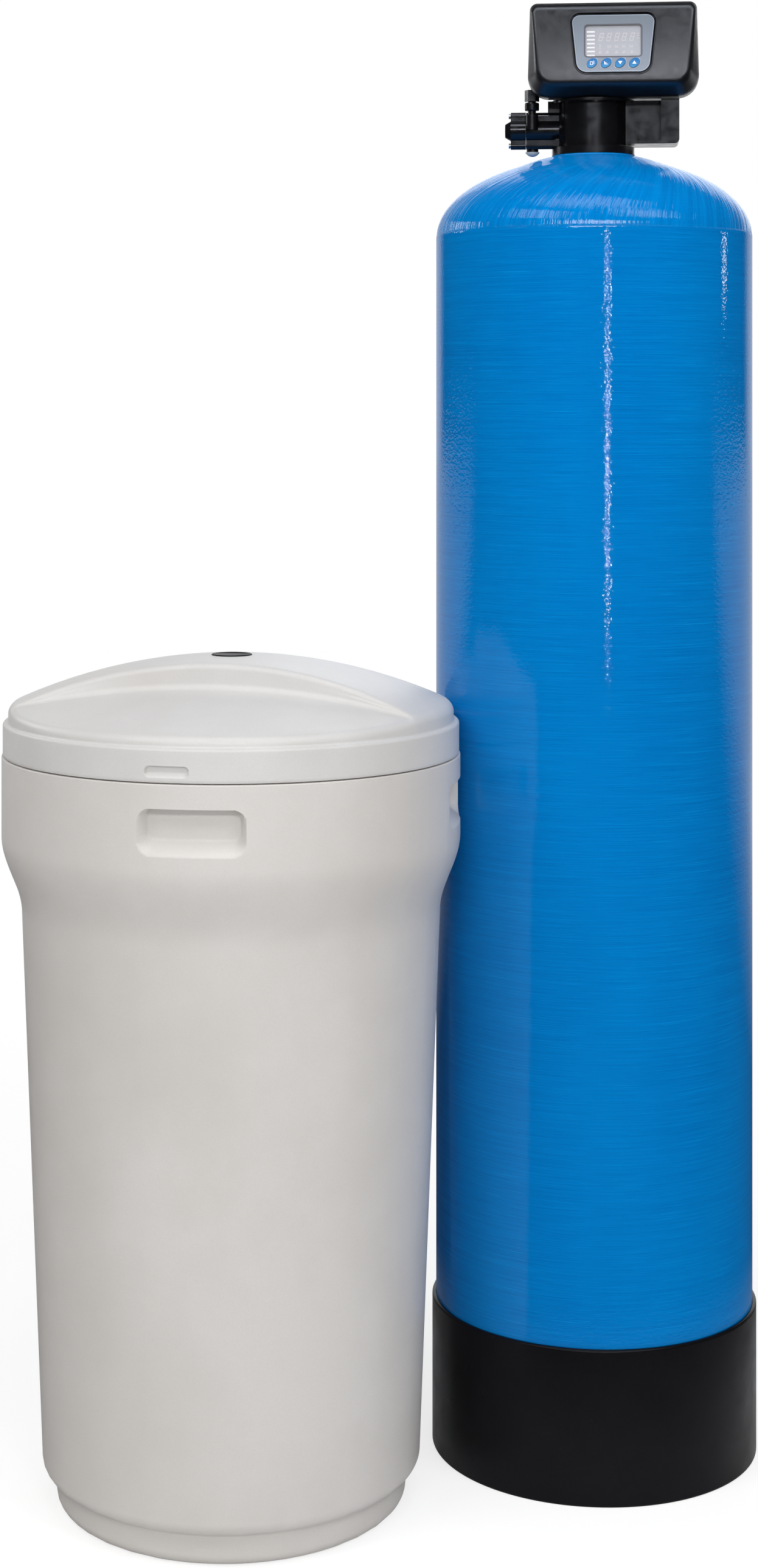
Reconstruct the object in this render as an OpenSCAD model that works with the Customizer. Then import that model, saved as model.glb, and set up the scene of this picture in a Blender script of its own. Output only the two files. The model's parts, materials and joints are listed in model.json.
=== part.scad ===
// Water softener: a wound pressure vessel in a boot, an automatic disc valve
// with a display head on its neck, and a free-standing brine tank with a lid.
// The origin is on the floor under the vessel's axis, the display faces -Y, and all sizes are in mm.

/* [Pressure vessel] */
// Outside diameter of the wound vessel
vessel_d = 334; // [300:1:400]
// Height of the neck's top above the floor
vessel_h = 1363; // [1100:1:1700]
// Height of each domed end
dome_h = 84; // [72:1:105]
// Thickness of the wound glass-fibre wall
wound_wall = 3; // [2:0.5:5]
// Thickness of the liner inside the wound wall
liner_wall = 4; // [3:0.5:6]
// Thickness of the liner around the neck's thread
neck_wall = 4.9; // [4:0.1:8]
// Height of the neck above the dome
neck_h = 5; // [3:1:15]
// Empty height between the resin and the upper dome
freeboard = 400; // [250:1:600]

/* [Boot] */
// Height of the boot
boot_h = 157; // [120:1:220]
// Thickness of the boot's wall
boot_wall = 3.7; // [2.5:0.1:8]
// Thickness of the boot's floor
boot_floor = 6; // [4:1:12]
// Inner radius of the ring that carries the dome
boot_ring_r = 116; // [90:1:130]
// Rounding of the boot's edges
boot_round = 2.5; // [1:0.5:2.5]

/* [Riser and strainers] */
// Outside diameter of the riser tube
riser_d = 26.7; // [20:0.1:30]
// Wall of the riser tube
riser_wall = 2.4; // [1.5:0.1:4]
// How far the riser tube enters the valve above the neck
riser_rise = 7; // [4:1:8]
// Outside diameter of the bottom strainer
strainer_d = 66; // [50:1:72]
// Height of the bottom strainer
strainer_h = 72; // [50:1:100]
// Depth of the riser's socket in the bottom strainer
strainer_socket = 24; // [15:1:30]
// Height of the top strainer
top_strainer_h = 58; // [40:1:90]
// Wall of both strainers
strainer_wall = 2.5; // [2:0.1:4]

/* [Valve body] */
// Diameter of the thread in the neck
thread_d = 73; // [70:0.5:76]
// Length of the thread in the neck
thread_len = 22; // [15:1:30]
// Diameter of the water passage around the riser, inside the thread
annulus_d = 60; // [56:1:62]
// Thickness of the flange that seats on the neck
flange_h = 8; // [6:1:12]
// How much smaller than the neck the flange's radius is
flange_step = 1; // [0:0.5:3]
// Diameter of the disc chamber
chamber_d = 58; // [52:1:62]
// Height of the disc chamber's floor above the neck
chamber_rise = 29.5; // [29:0.5:34]
// Wall of the body around the disc chamber
body_wall = 7.5; // [6:0.5:10]
// Height of the head's underside above the neck
head_rise = 58; // [54:1:62]
// Radius of the collar that the head sits on
collar_r = 44; // [42:1:50]
// Height of the collar
collar_h = 3; // [2:0.5:6]
// Distance of the left shelf's end from the valve's axis
shelf_x = 48; // [44:1:50]
// Height of the left shelf under the head
shelf_h = 12; // [11:0.5:16]

/* [Ports] */
// Outside diameter of the inlet and outlet threads
port_d = 26.4; // [24:0.1:30]
// Bore of the inlet and outlet
port_bore = 20; // [16:0.5:21]
// Distance between the inlet and the outlet
port_pitch = 54; // [50:1:70]
// Height of the ports' axis above the neck
port_rise = 18; // [17:0.5:18.5]
// Distance of the ports' stop collar behind the valve's axis
port_collar_y = 52; // [48:1:60]
// Thickness of the ports' stop collar
port_collar_t = 5; // [3:1:8]
// Length of the port behind its collar
port_len = 26; // [20:1:40]
// Outside diameter of the drain thread
drain_d = 20.9; // [18:0.1:22]
// Length of the drain thread
drain_len = 24; // [15:1:35]

/* [Valve discs and drive] */
// Thickness of the gasket under the fixed disc
gasket_t = 1.5; // [1:0.1:2.5]
// Thickness of the fixed disc
fixed_t = 6; // [5:0.5:8]
// Thickness of the moving disc
moving_t = 6; // [5:0.5:8]
// Thickness of the driving plate on the moving disc
plate_t = 7; // [5:0.5:9]
// Diameter of the driving stem
stem_d = 14; // [12:0.5:15]
// Diameter of the stem's upper journal
journal_d = 8; // [6:0.5:10]
// Thickness of the thrust washer
washer_t = 1; // [0.8:0.1:2]
// Height of the body cap inside the chamber
cap_h = 12; // [9:1:15]
// Thickness of the body cap's hexagon
cap_hex_t = 4; // [3:0.5:6]
// Module of the drive gears
gear_module = 1; // [0.8:0.05:1.1]
// Teeth on the drive gear
gear_teeth = 48; // [44:1:52]
// Teeth on the pinion
pinion_teeth = 12; // [12:1:14]
// Thickness of the drive gear
gear_t = 8; // [6:0.5:10]
// Play between the gears' teeth
backlash = 0.5; // [0.4:0.05:0.6]
// Thickness of the bracket over the gears
bracket_t = 3.5; // [3:0.5:5]
// Diameter of the gear motor
motor_d = 34; // [28:1:36]
// Length of the gear motor
motor_h = 44; // [35:1:50]

/* [Injector] */
// Height of the injector's axis above the neck
injector_rise = 28; // [26:0.5:30]
// Radius of the injector's barrel
injector_r = 10.8; // [10:0.1:12]
// Bore of the injector's barrel
injector_bore = 12; // [10:0.5:13]
// Distance of the injector's joint face from the valve's axis
injector_face_x = 71.5; // [68:0.5:80]
// Length of the injector cover
injector_cover_l = 16; // [14:0.5:20]
// Length of the cover's domed end
injector_dome_l = 6; // [4:0.5:8]
// Distance of each screw lobe above or below the injector's axis
lobe_pitch = 15.8; // [15:0.1:17]
// Radius of the screw lobes
lobe_r = 3.8; // [3.5:0.1:4.2]

/* [Brine connector] */
// Distance of the brine connector from the valve's axis
connector_x = 65; // [60:0.5:66]
// How far the brine connector stands in front of the injector's axis
connector_y = 11; // [10.7:0.1:12]
// How far the white plug stands behind the injector's axis
plug_back = 6.5; // [6:0.5:8]
// Outside diameter of the connector's tube
connector_d = 8.6; // [8:0.1:9]
// Bore of the connector, for the brine line
connector_bore = 6.5; // [5.5:0.1:6.6]
// Height of the connector's nut above the neck
nut_rise = 58; // [57:0.5:62]
// Height of the connector's nut
nut_h = 12; // [9:0.5:14]
// Width across the corners of the connector's nut
nut_d = 15.5; // [14:0.5:16]
// Diameter of the connector's ring and of the white plug
ring_d = 15.4; // [14:0.1:16]
// Height of the connector's ring
ring_h = 8; // [6:0.5:8]
// Height of the ring's lower edge above the neck
ring_rise = 48.5; // [48.5:0.5:49]
// Height of the white plug's lowest point above the neck
plug_rise = 1; // [0.5:0.5:3]

/* [Right-hand drain block] */
// Distance of the block's right face from the valve's axis
block_x = 90; // [84:1:100]
// Distance of the block's front face before the valve's axis
block_front = 29; // [26:1:34]
// Distance of the block's rear face behind the valve's axis
block_back = 16; // [14:1:22]
// Height of the block's underside above the neck
block_rise = 10; // [9:0.5:14]
// Width of the column at the block's right end
block_column = 19; // [14:1:24]
// Depth of the panel that is set into the block's front
block_recess = 16; // [12:1:18]
// Rounding of the block's lower right corner
block_round = 5; // [3:0.5:8]

/* [Head] */
// Distance of the head's middle to the right of the valve's axis
head_x = 21; // [16:1:26]
// Width of the head at its top
head_top_w = 174; // [165:1:185]
// Width of the head at its bottom
head_bottom_w = 180; // [170:1:190]
// Height of the head
head_h = 99; // [96:1:106]
// Wall of the head's covers
head_wall = 2.5; // [2:0.1:3.5]
// Thickness of the head's face, which holds the fascia
face_wall = 5; // [4.5:0.1:7]
// How far the face leans back, in degrees
face_lean = 10; // [6:1:12]
// Width of the face at its top
face_top_w = 170; // [160:1:174]
// Width of the face at its bottom
face_bottom_w = 157; // [150:1:160]
// Height of the face
face_h = 84; // [80:1:86]
// Distance of the face's middle before the valve's axis
face_y = 58; // [56:1:64]
// Distance of the front cover's full section before the valve's axis
shoulder_y = 40; // [38:1:44]
// Distance of the front cover's back edge before the valve's axis
split_y = 16; // [15:1:20]
// Width of the rear cover
rear_w = 150; // [140:1:154]
// How far the rear cover reaches behind the valve's axis
rear_y = 40; // [36:1:50]

/* [Fascia] */
// Width of the fascia at its top
fascia_top_w = 87; // [80:1:90]
// Width of the fascia at its bottom
fascia_bottom_w = 74; // [72:1:80]
// Height of the fascia
fascia_h = 61.5; // [59:0.5:64]
// Width of the groove around the fascia
fascia_groove = 2; // [1.5:0.5:4]
// Thickness of the fascia
fascia_t = 1.6; // [1.2:0.1:2]
// Width of the display window
window_w = 58.5; // [54:0.5:60]
// Height of the display window
window_h = 34; // [30:0.5:34.5]
// Length of an elliptical button
button_l = 12; // [10:0.1:12.5]
// Width of an elliptical button
button_w = 8.6; // [7:0.1:9]
// Distance between the buttons
button_pitch = 14.6; // [14.4:0.1:15]
// How far a button can be pressed
button_travel = 1.2; // [0.8:0.1:1.5]

/* [Brine tank] */
// Diameter of the tank's collar
rim_d = 463; // [440:1:500]
// Height of the tank's rim, where the lid sits
tank_h = 748; // [650:1:850]
// Height of the straight collar
collar_band = 80; // [70:1:110]
// Height of the curve from the collar to the body
shoulder_band = 78; // [60:1:110]
// Diameter of the body under the curve
waist_d = 422; // [410:1:432]
// Diameter of the body above its lower edge
foot_d = 381; // [375:1:390]
// Diameter of the plinth
plinth_d = 352; // [340:1:354]
// Height of the plinth
plinth_h = 33; // [25:1:45]
// Rounding of the body's lower edge
foot_round = 14; // [10:1:14]
// Wall of the tank
tank_wall = 4; // [3:0.5:5]
// Thickness of the tank's floor
tank_floor = 5; // [4:0.5:8]
// Gap between the brine tank and the vessel
tank_gap = 0.6; // [0.4:0.1:0.8]
// Direction from the vessel's axis to the tank's axis, in degrees
tank_bearing = 204.4; // [195:0.1:215]
// Width of a grip recess
grip_w = 100; // [80:1:120]
// Height of a grip recess
grip_h = 44; // [38:1:48]
// Depth of a grip recess
grip_depth = 15; // [12:1:20]
// Distance of the grips' middle below the rim
grip_drop = 45; // [42:1:47]
// Height of the lip that the lid goes over
lip_h = 16; // [10:1:22]

/* [Lid] */
// Height of the lid above the rim
lid_h = 98; // [90:1:115]
// Height of the lid's skirt
skirt_h = 33; // [28:1:36]
// Height of the dome's edge above the rim
crown_edge = 49; // [46:1:54]
// How far the dome's edge is set in from the skirt
crown_inset = 5.5; // [3:0.5:8]
// How far the skirt is set in from the collar
lid_inset = 1.2; // [0.5:0.1:3]
// Wall of the lid
lid_wall = 4; // [3:0.5:5]
// Distance of a scoop's edge from the middle of the ridge
scoop_v = 62; // [55:1:70]
// Radius of a scoop's edge seen from above
scoop_r = 780; // [650:10:900]
// Depth of a scoop below the crown, where its wall meets its floor
scoop_drop = 28; // [24:1:28]
// How far a scoop's wall slopes outward for each millimetre of its height
scoop_slope = 0.05; // [0.05:0.05:0.5]
// How far a scoop's floor slopes down, in degrees
scoop_fall = 9.5; // [9:0.5:11]
// Radius of a scoop's floor across its width
scoop_floor_r = 1250; // [1100:10:1600]
// Turn of the lid on the tank, in degrees
lid_turn = -6; // [-20:1:20]
// Diameter of the plug in the lid's crown
plug_d = 41; // [34:1:48]
// Thickness of the plug's disc
plug_t = 3; // [2:0.5:4]
// Width of the finger slot in the skirt
slot_w = 41; // [30:1:60]
// Height of the finger slot in the skirt
slot_h = 8; // [5:1:10]
// Depth of the finger slot in the skirt
slot_depth = 2; // [1:0.5:2.5]
// Height of the finger slot's middle above the rim
slot_rise = 11; // [9:1:18]

/* [Brine well and grid] */
// Outside diameter of the brine well
well_d = 100; // [96:1:110]
// Wall of the brine well
well_wall = 3; // [2:0.5:4]
// Height of the brine well's top above the floor
well_h = 640; // [560:1:680]
// Distance of the brine well from the tank's axis
well_offset = 105; // [98:1:112]
// Height of the salt grid's top above the floor
grid_h = 140; // [110:1:200]
// Thickness of the salt grid
grid_t = 5; // [4:0.5:8]
// Outside diameter of the float
float_d = 46; // [38:1:46]
// Height of the float
float_h = 60; // [40:1:80]
// How far the float can rise
float_travel = 12; // [8:1:16]
// Diameter of the check ball
ball_d = 16; // [14:0.5:16]
// How far the check ball can rise
ball_travel = 10; // [6:1:14]
// Outside diameter of the overflow spout
overflow_d = 18; // [15:0.5:20]

/* [Hidden] */
$fn = 96;

// Clearances
seat_gap = 0.3;
fit_gap = 0.3;
run_gap = 0.3;
eps = 0.01;
over = 2;
dome_steps = 18;

// Vessel
vessel_r = vessel_d / 2;
thread_r = thread_d / 2;
neck_bore_r = thread_r + fit_gap;
neck_r = neck_bore_r + neck_wall + seat_gap + wound_wall;
vessel_z = boot_floor + seat_gap;
low_z = vessel_z + dome_h;
high_z = vessel_h - neck_h - ellipse_z(vessel_r, dome_h, neck_r);
liner_out = wound_wall + seat_gap;
liner_in = liner_out + liner_wall;
boot_r = vessel_r + seat_gap + boot_wall;

// Riser and strainers
riser_r = riser_d / 2;
strainer_r = strainer_d / 2;
strainer_z = low_z - ellipse_z(vessel_r - liner_in, dome_h - liner_in, strainer_r) + seat_gap;
strainer_top = strainer_z + strainer_h;
riser_z = strainer_top - strainer_socket;
riser_top = vessel_h + riser_rise;
annulus_r = annulus_d / 2;
resin_top = high_z - freeboard;
slot_n = 16;
slot_cut = 2;
slot_inset = 8;
top_strainer_in = 10;

// Valve body
flange_r = neck_r - flange_step;
chamber_r = chamber_d / 2;
chamber_z = vessel_h + chamber_rise;
body_r = chamber_r + body_wall;
shelf_front = 6;
shelf_back = 22;
head_z = vessel_h + head_rise;
sleeve_wall = 4.5;
sleeve_r = riser_r + sleeve_wall;
seal_r = 2;
seal_ring_r = thread_r + seal_r + 2 * fit_gap;
riser_seal_r = 1.25;
riser_seal_ring_r = riser_r + fit_gap + riser_seal_r;
riser_seal_drop = 8;
riser_seal_z = vessel_h - riser_seal_drop;
port_z = vessel_h + port_rise;
port_x = port_pitch / 2;
port_collar = 3;
port_throat = 1.5;
port_end_y = port_collar_y + port_collar_t + port_len;
way_r = 6;
annulus_roof = 3;
rise_r = 4;
rise_angles = [250, 290];
port_turn = 35;
way_pcd = 17;
way_in = [port_x, chamber_r - way_r];
way_up = [way_pcd * cos(port_turn), way_pcd * sin(port_turn)];

// Disc stack
gasket_z = chamber_z;
fixed_z = gasket_z + gasket_t;
moving_z = fixed_z + fixed_t + run_gap;
plate_z = moving_z + moving_t;
washer_z = plate_z + plate_t + run_gap;
cap_z = washer_z + washer_t + run_gap;
body_top = cap_z + cap_h;
cap_top = body_top + cap_hex_t;
gear_lift = 1.5;
addendum = 0.85;
dedendum = 1.2;
key_gap = 0.05;
pinion_over = 0.5;
bracket_rim = 2;
shaft_gap = 1.5;
gear_z = cap_top + gear_lift;
bracket_lift = 3;
bracket_z = gear_z + gear_t + bracket_lift;
stem_r = stem_d / 2;
journal_r = journal_d / 2;
gear_r = gear_module * gear_teeth / 2;
pinion_r = gear_module * pinion_teeth / 2;
motor_x = gear_r + pinion_r;
leg_pcd = (chamber_r + body_r) / 2;
leg_r = 2.6;
leg_angles = [110, 180, 250];
motor_z = bracket_z + bracket_t;
motor_r = motor_d / 2;
motor_step = 4;
motor_screw_y = motor_r - motor_step;
motor_case_share = 0.6;
motor_hole = 6;
motor_tab = 5;
tab_w = 3;
tab_t = 0.8;
pinion_shaft_r = 2.5;
shaft_len = 14;
screw_r = 1.4;
screw_head_r = 2.7;
screw_head_h = 2;
drive_share = 0.6;
drive_w = 0.7;
drive_depth = 0.8;

// Water meter in the outlet
cage_r = port_bore / 2 - fit_gap;
cage_wall = 1;
cage_l = 16;
cage_inset = 6;
cage_y = port_end_y - cage_inset - cage_l;
impeller_l = 9;
impeller_y = cage_y + (cage_l - impeller_l) / 2;
impeller_r = cage_r - cage_wall - 4 * run_gap;
impeller_hub_r = 3;
blade_t = 1;
blade_turn = 25;
pin_r = 1;
cage_plate_t = 2;
cage_hub_r = 2.2;
cage_web = 0.4;
cage_holes = 5;

// Drain block and drain fitting
block_z = vessel_h + block_rise;
block_slot = 1;
block_top = head_z - block_slot;
block_lip = 3;
panel_gap = 2;
drain_inset = 8;
drain_x = block_x - block_column - drain_inset;
drain_z = (block_z + block_top) / 2;
drain_bore_r = 7;
drain_tube_r = 4.5;
drain_front = 8;
drain_flange = 2.5;
drain_spigot = 12;
drain_flange_t = 5;
drain_end_y = block_back + seat_gap + drain_flange_t + drain_len;

// Injector
injector_z = vessel_h + injector_rise;
injector_y = 6;
cover_x = injector_face_x + seat_gap;
cover_end = cover_x + injector_cover_l;
injector_bore_r = injector_bore / 2;
injector_end = 3;
screw_depth = 12;
screw_end = 4;
leg_screw_l = 8;
cover_step = 0.2;
dome_taper = 0.6;
nozzle_hole_r = 1;
nozzle_flare = 8;
throat_hole_r = 1.6;
throat_flare = 12;
cone_rim = 1.5;
nozzle_l = 14;
throat_l = 18;
throat_x = injector_face_x - throat_l - seat_gap;

// Brine connector
connector_r = connector_d / 2;
connector_px = -connector_x;
connector_py = injector_y - connector_y;
socket_wall = 2;
socket_r = connector_r + fit_gap + socket_wall;
socket_drop = 8;
connector_socket_z = vessel_h + ring_rise - socket_drop;
connector_lift = 4;
connector_z = injector_z + connector_lift;
connector_stop = 6;
connector_collar_t = 3;
connector_way_r = 2;
nut_overlap = 2;
connector_top = vessel_h + nut_rise + nut_h;
ring_r = ring_d / 2;
plug_z = vessel_h + plug_rise;
ring_crown = 0.6;
plug_bulge = 5;
plug_top = plug_z + plug_bulge;
plug_lip = 1.4;
plug_boss_r = ring_r - plug_lip;
plug_boss_wall = 2.5;
plug_hole_r = plug_boss_r - plug_boss_wall;
plug_stem = 8;
plug_hole_h = 12;
plug_py = injector_y + plug_back;

// Head
head_top = head_z + seat_gap + head_h;
head_low = head_z + seat_gap;
face_lift = 52.3;
face_z = head_low + face_lift;
face_slice = 0.5;
face_round_top = 7;
face_round_low = 17;
head_round_top = 8;
head_round_low = 22;
body_hole_gap = 0.5;
body_hole_r = body_r + body_hole_gap;
rear_inset = 7;
rear_x = head_x + (head_bottom_w - rear_w) / 2 - rear_inset;
rear_top_step = 4;
rear_top = head_top - rear_top_step;
rear_low_step = 4;
rear_low = head_low + rear_low_step;
rear_mid_z = (rear_top + rear_low) / 2;
rear_h = rear_top - rear_low;
rear_round = 8;
rear_round_far = 22;
plate_t_head = 2.5;
plate_gap = 1.5;
post_r = 4;
post_gap = 0.5;
post_inset = 9;
post_x = rear_x + body_r + post_gap + post_r;
post_z = rear_h / 2 - post_inset;

// Fascia, display and buttons, measured on the face with its middle as the origin
fascia_mid = 1.45;
fascia_round_top = 8;
fascia_round_low = 11;
fascia_sink = 0.4;
recess_depth = fascia_t + fascia_sink;
fascia_back = -recess_depth + seat_gap / 3;
window_lift = 2.8;
window_mid = fascia_mid + window_lift;
window_round = 3;
window_t = 1.2;
window_sink = 0.3;
window_back = fascia_back + fascia_t - window_t - window_sink;
display_inset = 0.5;
button_drop = 21.35;
button_mid = fascia_mid - button_drop;
button_turn = 42;
button_proud = 0.9;
button_flange = 1.2;
button_flange_t = 1.2;
button_inner = -face_wall - run_gap;
switch_h = 4;
switch_w = 6;
switch_d = 5;
board_depth = face_wall + button_flange_t + button_travel + switch_h;
board_w = 110;
board_h = 60;
board_t = 1.6;
board_post_inset = 5;
board_post_r = 3;
board_post_x = board_w / 2 - board_post_inset;
board_post_y = board_h / 2 - board_post_inset;
board_screw_l = 5;

// Power socket in the rear cover
power_r = 4;
power_side = 40;
power_x = rear_x + power_side;
power_drop = 10;
power_z = rear_mid_z - power_drop;
power_l = 12;
power_wall = 1.2;
power_rim = 2;

// Brine tank
rim_r = rim_d / 2;
tank_reach = vessel_r + tank_gap + rim_r;
tank_pos = [tank_reach * cos(tank_bearing), tank_reach * sin(tank_bearing), 0];
waist_r = waist_d / 2;
foot_r = foot_d / 2;
plinth_r = plinth_d / 2;
plinth_round = 12;
foot_z = plinth_h + foot_round;
collar_z = tank_h - collar_band;
waist_z = collar_z - shoulder_band;
lid_r = rim_r - lid_inset;
lid_gap = 1.5;
lip_r = lid_r - lid_wall - lid_gap;
lip_wall = 4;
grip_z = tank_h - grip_drop;
grip_round = 12;
tube_hole_r = 6;
tube_hole_bearing = 45;

// Lid
lid_z = tank_h + seat_gap;
crown_r = lid_r - crown_inset;
crown_sag = lid_h - crown_edge;
crown_ball_r = (crown_r * crown_r + crown_sag * crown_sag) / (2 * crown_sag);
lid_top = lid_z + lid_h;
plug_r = plug_d / 2;
scoop_deep = 60;
plug_sink = 2.2;
plug_seat_z = lid_top - plug_sink;
plug_rim = 6;
plug_stub_r = plug_r - plug_rim;
plug_stub_l = 9;

// Brine well and what it holds
well_bearing = 62;
well_pos = [well_offset * cos(well_bearing), well_offset * sin(well_bearing), 0];
well_r = well_d / 2;
well_in_r = well_r - well_wall;
well_z = tank_floor + seat_gap;
well_slot_w = 6;
well_slot_z = 8;
well_slot_h = 52;
cap_skirt = 14;
cap_grip = [36, 4, 14];
cap_wall = 2.5;
pickup_x = -20;
pickup_r = 5;
pickup_wall = 1.2;
float_side = 9;
rod_x = well_in_r - float_d / 2 - float_side;
rod_r = 2.5;
float_r = float_d / 2;
valve_h = 42;
valve_drop = 100;
valve_z = well_h - valve_drop;
valve_half_w = 11;
valve_end = 9;
rod_wall = 5.5;
valve_top = valve_z + valve_h;
float_drop = 340;
float_z = well_h - float_drop;
rod_tail = 20;
rod_low = float_z - rod_tail;
rod_head = 25;
rod_top = valve_top + rod_head;
rod_stop = 3;
rod_stop_h = 4;
ball_play = 2;
cage_in_r = ball_d / 2 + ball_play;
ball_cage_wall = 2.5;
cage_out_r = cage_in_r + ball_cage_wall;
check_lift = 8;
check_z = well_z + check_lift;
check_seat_t = 4;
check_roof = 6;
check_h = check_seat_t + ball_d + ball_travel + check_roof;
check_slot = 5;
pickup_in = 22;
ball_r = ball_d / 2;
ball_seat_share = 0.75;
ball_seat_r = ball_r * ball_seat_share;
ball_z = check_z + check_seat_t + sqrt(ball_r * ball_r - ball_seat_r * ball_seat_r) + run_gap;
bolt_r = 2.4;
bolt_head_r = 4.5;
bolt_head_h = 3.5;
bolt_inset = 10;
bolt_zs = [valve_z + bolt_inset, valve_top - bolt_inset];

// Salt grid
grid_low = grid_h - grid_t;
grid_gap = 1;
grid_r = tank_r(grid_low) - tank_wall - grid_gap;
grid_leg_r = 10;
grid_leg_wall = 2.5;
grid_pitch = 30;
grid_rings = 5;
grid_web = 8;
grid_leg_pcd = 148;
grid_hole_r = 4.5;

// Overflow
overflow_bearing = 135;
overflow_z = grip_z;
overflow_r = overflow_d / 2;
overflow_wall = 2;
overflow_flange = 7;
overflow_flange_r = overflow_r + overflow_flange;
overflow_flange_t = 4;
overflow_reach = 5;
overflow_turn = rim_r + seat_gap + overflow_flange_t + overflow_r + overflow_reach;
overflow_drop = 42;
overflow_thick = 1;
overflow_elbow_r = overflow_r + overflow_thick;
overflow_collar = 2;
overflow_inside = 14;
overflow_in = rim_r - tank_wall - overflow_inside;
overflow_nut_t = 7;
overflow_nut_gap = 1;

// Height of a point of the ellipse with half axes a and b at the radius r
function ellipse_z(a, b, r) = b * sqrt(1 - pow(r / a, 2));

function arc(x, y, r, from, to, n = 6) =
  [for (i = [0:n]) let (a = from + (to - from) * i / n) [x + r * cos(a), y + r * sin(a)]];

function reverse(points) = [for (i = [len(points) - 1:-1:0]) points[i]];

// Vessel's outline, inset by o, from the bottom on the axis up to the radius r_top of the upper dome
function vessel_side(o, r_top) =
  let (a = vessel_r - o, b = dome_h - o, last = acos(r_top / a))
  concat(
    [for (i = [dome_steps:-1:0]) let (t = 90 * i / dome_steps) [a * cos(t), low_z - b * sin(t)]],
    [for (i = [0:dome_steps]) let (t = last * i / dome_steps) [a * cos(t), high_z + b * sin(t)]]
  );

// Radius of the brine tank's tapered body at a height
function tank_r(z) = foot_r + (waist_r - foot_r) * (z - foot_z) / (waist_z - foot_z);

// Curve from the tank's waist to its collar, inset by o
function tank_shoulder(o, n = 10) =
  [for (i = [0:n]) [
    waist_r - o + (rim_r - waist_r) * (1 - cos(180 * i / n)) / 2,
    waist_z + shoulder_band * i / n
  ]];

// Tank's outline, inset by o, from the plinth's bottom to the collar
function tank_side(o, floor_z, round_r) = concat(
  arc(plinth_r - o - round_r, floor_z + round_r, round_r, -90, 0),
  [[plinth_r - o, plinth_h + o]],
  arc(foot_r - foot_round, foot_z, foot_round - o, -90, 0),
  tank_shoulder(o)
);

function rounded(w, h, r) = concat(
  arc(w / 2 - r, h / 2 - r, r, 0, 90),
  arc(r - w / 2, h / 2 - r, r, 90, 180),
  arc(r - w / 2, r - h / 2, r, 180, 270),
  arc(w / 2 - r, r - h / 2, r, 270, 360)
);

// Middle of a corner rounding of a trapezoid whose sides lean by s degrees
function lean_x(top_w, h, s, r, y) = (cos(s) * top_w / 2 - sin(s) * h / 2 - r + sin(s) * y) / cos(s);

// Trapezoid with rounded corners and its middle at the origin
function trapezoid(top_w, low_w, h, r_top, r_low) =
  let (
    s = atan((top_w - low_w) / 2 / h),
    x_top = lean_x(top_w, h, s, r_top, h / 2 - r_top),
    x_low = lean_x(top_w, h, s, r_low, r_low - h / 2)
  )
  concat(
    arc(x_top, h / 2 - r_top, r_top, -s, 90),
    arc(-x_top, h / 2 - r_top, r_top, 90, 180 + s),
    arc(-x_low, r_low - h / 2, r_low, 180 + s, 270),
    arc(x_low, r_low - h / 2, r_low, 270, 360 - s)
  );

function ellipse(l, w, turn, n = 32) =
  [for (i = [0:n - 1])
    let (x = l / 2 * cos(360 * i / n), y = w / 2 * sin(360 * i / n))
    [x * cos(turn) - y * sin(turn), x * sin(turn) + y * cos(turn)]];

// Angle of an involute from its base circle to the radius r
function involute(base, r) = let (a = acos(min(1, base / r))) tan(a) * 180 / PI - a;

// Outline of a spur gear with a tooth on the X axis
function gear_outline(teeth, m, play, pressure = 25) =
  let (
    pitch = m * teeth / 2,
    base = pitch * cos(pressure),
    root = pitch - dedendum * m,
    tip = pitch + addendum * m,
    half = 90 / teeth - play / 4 / pitch * 180 / PI + involute(base, pitch),
    radii = [root, max(base, root), (max(base, root) + 2 * tip) / 3, tip]
  )
  [for (i = [0:teeth - 1]) each concat(
    [for (r = radii)
      let (a = 360 * i / teeth - half + involute(base, max(base, r))) r * [cos(a), sin(a)]],
    [for (r = reverse(radii))
      let (a = 360 * i / teeth + half - involute(base, max(base, r))) r * [cos(a), sin(a)]]
  )];

// Round bar from p to q
module rod(p, q, r) {
  d = q - p;
  length = norm(d);
  translate(p) rotate([0, acos(d[2] / length), atan2(d[1], d[0])]) cylinder(r = r, h = length);
}

module ring(outer, inner, h) {
  difference() {
    cylinder(r = outer, h = h);
    translate([0, 0, -over]) cylinder(r = inner, h = h + 2 * over);
  }
}

module torus(ring_radius, bar_radius) {
  rotate_extrude() translate([ring_radius, 0]) circle(r = bar_radius, $fn = 32);
}

module block(low, high) {
  translate(low) cube(high - low);
}

// Pan-head screw along +Z with its head's underside at z = 0 and its shank below
module screw(length, shank = screw_r, head = screw_head_r, head_h = screw_head_h) {
  difference() {
    cylinder(r = head, h = head_h);
    for (a = [0, 90]) rotate(a) translate([-head * drive_share, -drive_w / 2, head_h - drive_depth])
      cube([2 * head * drive_share, drive_w, drive_depth + over]);
  }
  translate([0, 0, -length]) cylinder(r = shank, h = length + eps);
}

// Vertical slots through the wall of a strainer
module strainer_slots(r, z, h) {
  for (i = [0:slot_n - 1]) rotate(360 * i / slot_n)
    translate([r - strainer_wall - over, -slot_cut / 2, z])
      cube([strainer_wall + 2 * over, slot_cut, h]);
}

// Places children on the head's face: X right, Y up the face, Z out of it
module on_face() {
  translate([head_x, -face_y, face_z]) rotate([90 - face_lean, 0, 0]) children();
}

module at_tank() {
  translate(tank_pos) children();
}

module at_well() {
  translate(tank_pos + well_pos) rotate(well_bearing) children();
}

// Places children on the tank's wall at a bearing, with X outward from the tank's axis
module at_wall(bearing, z) {
  translate(tank_pos + [0, 0, z]) rotate(bearing) children();
}

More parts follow.
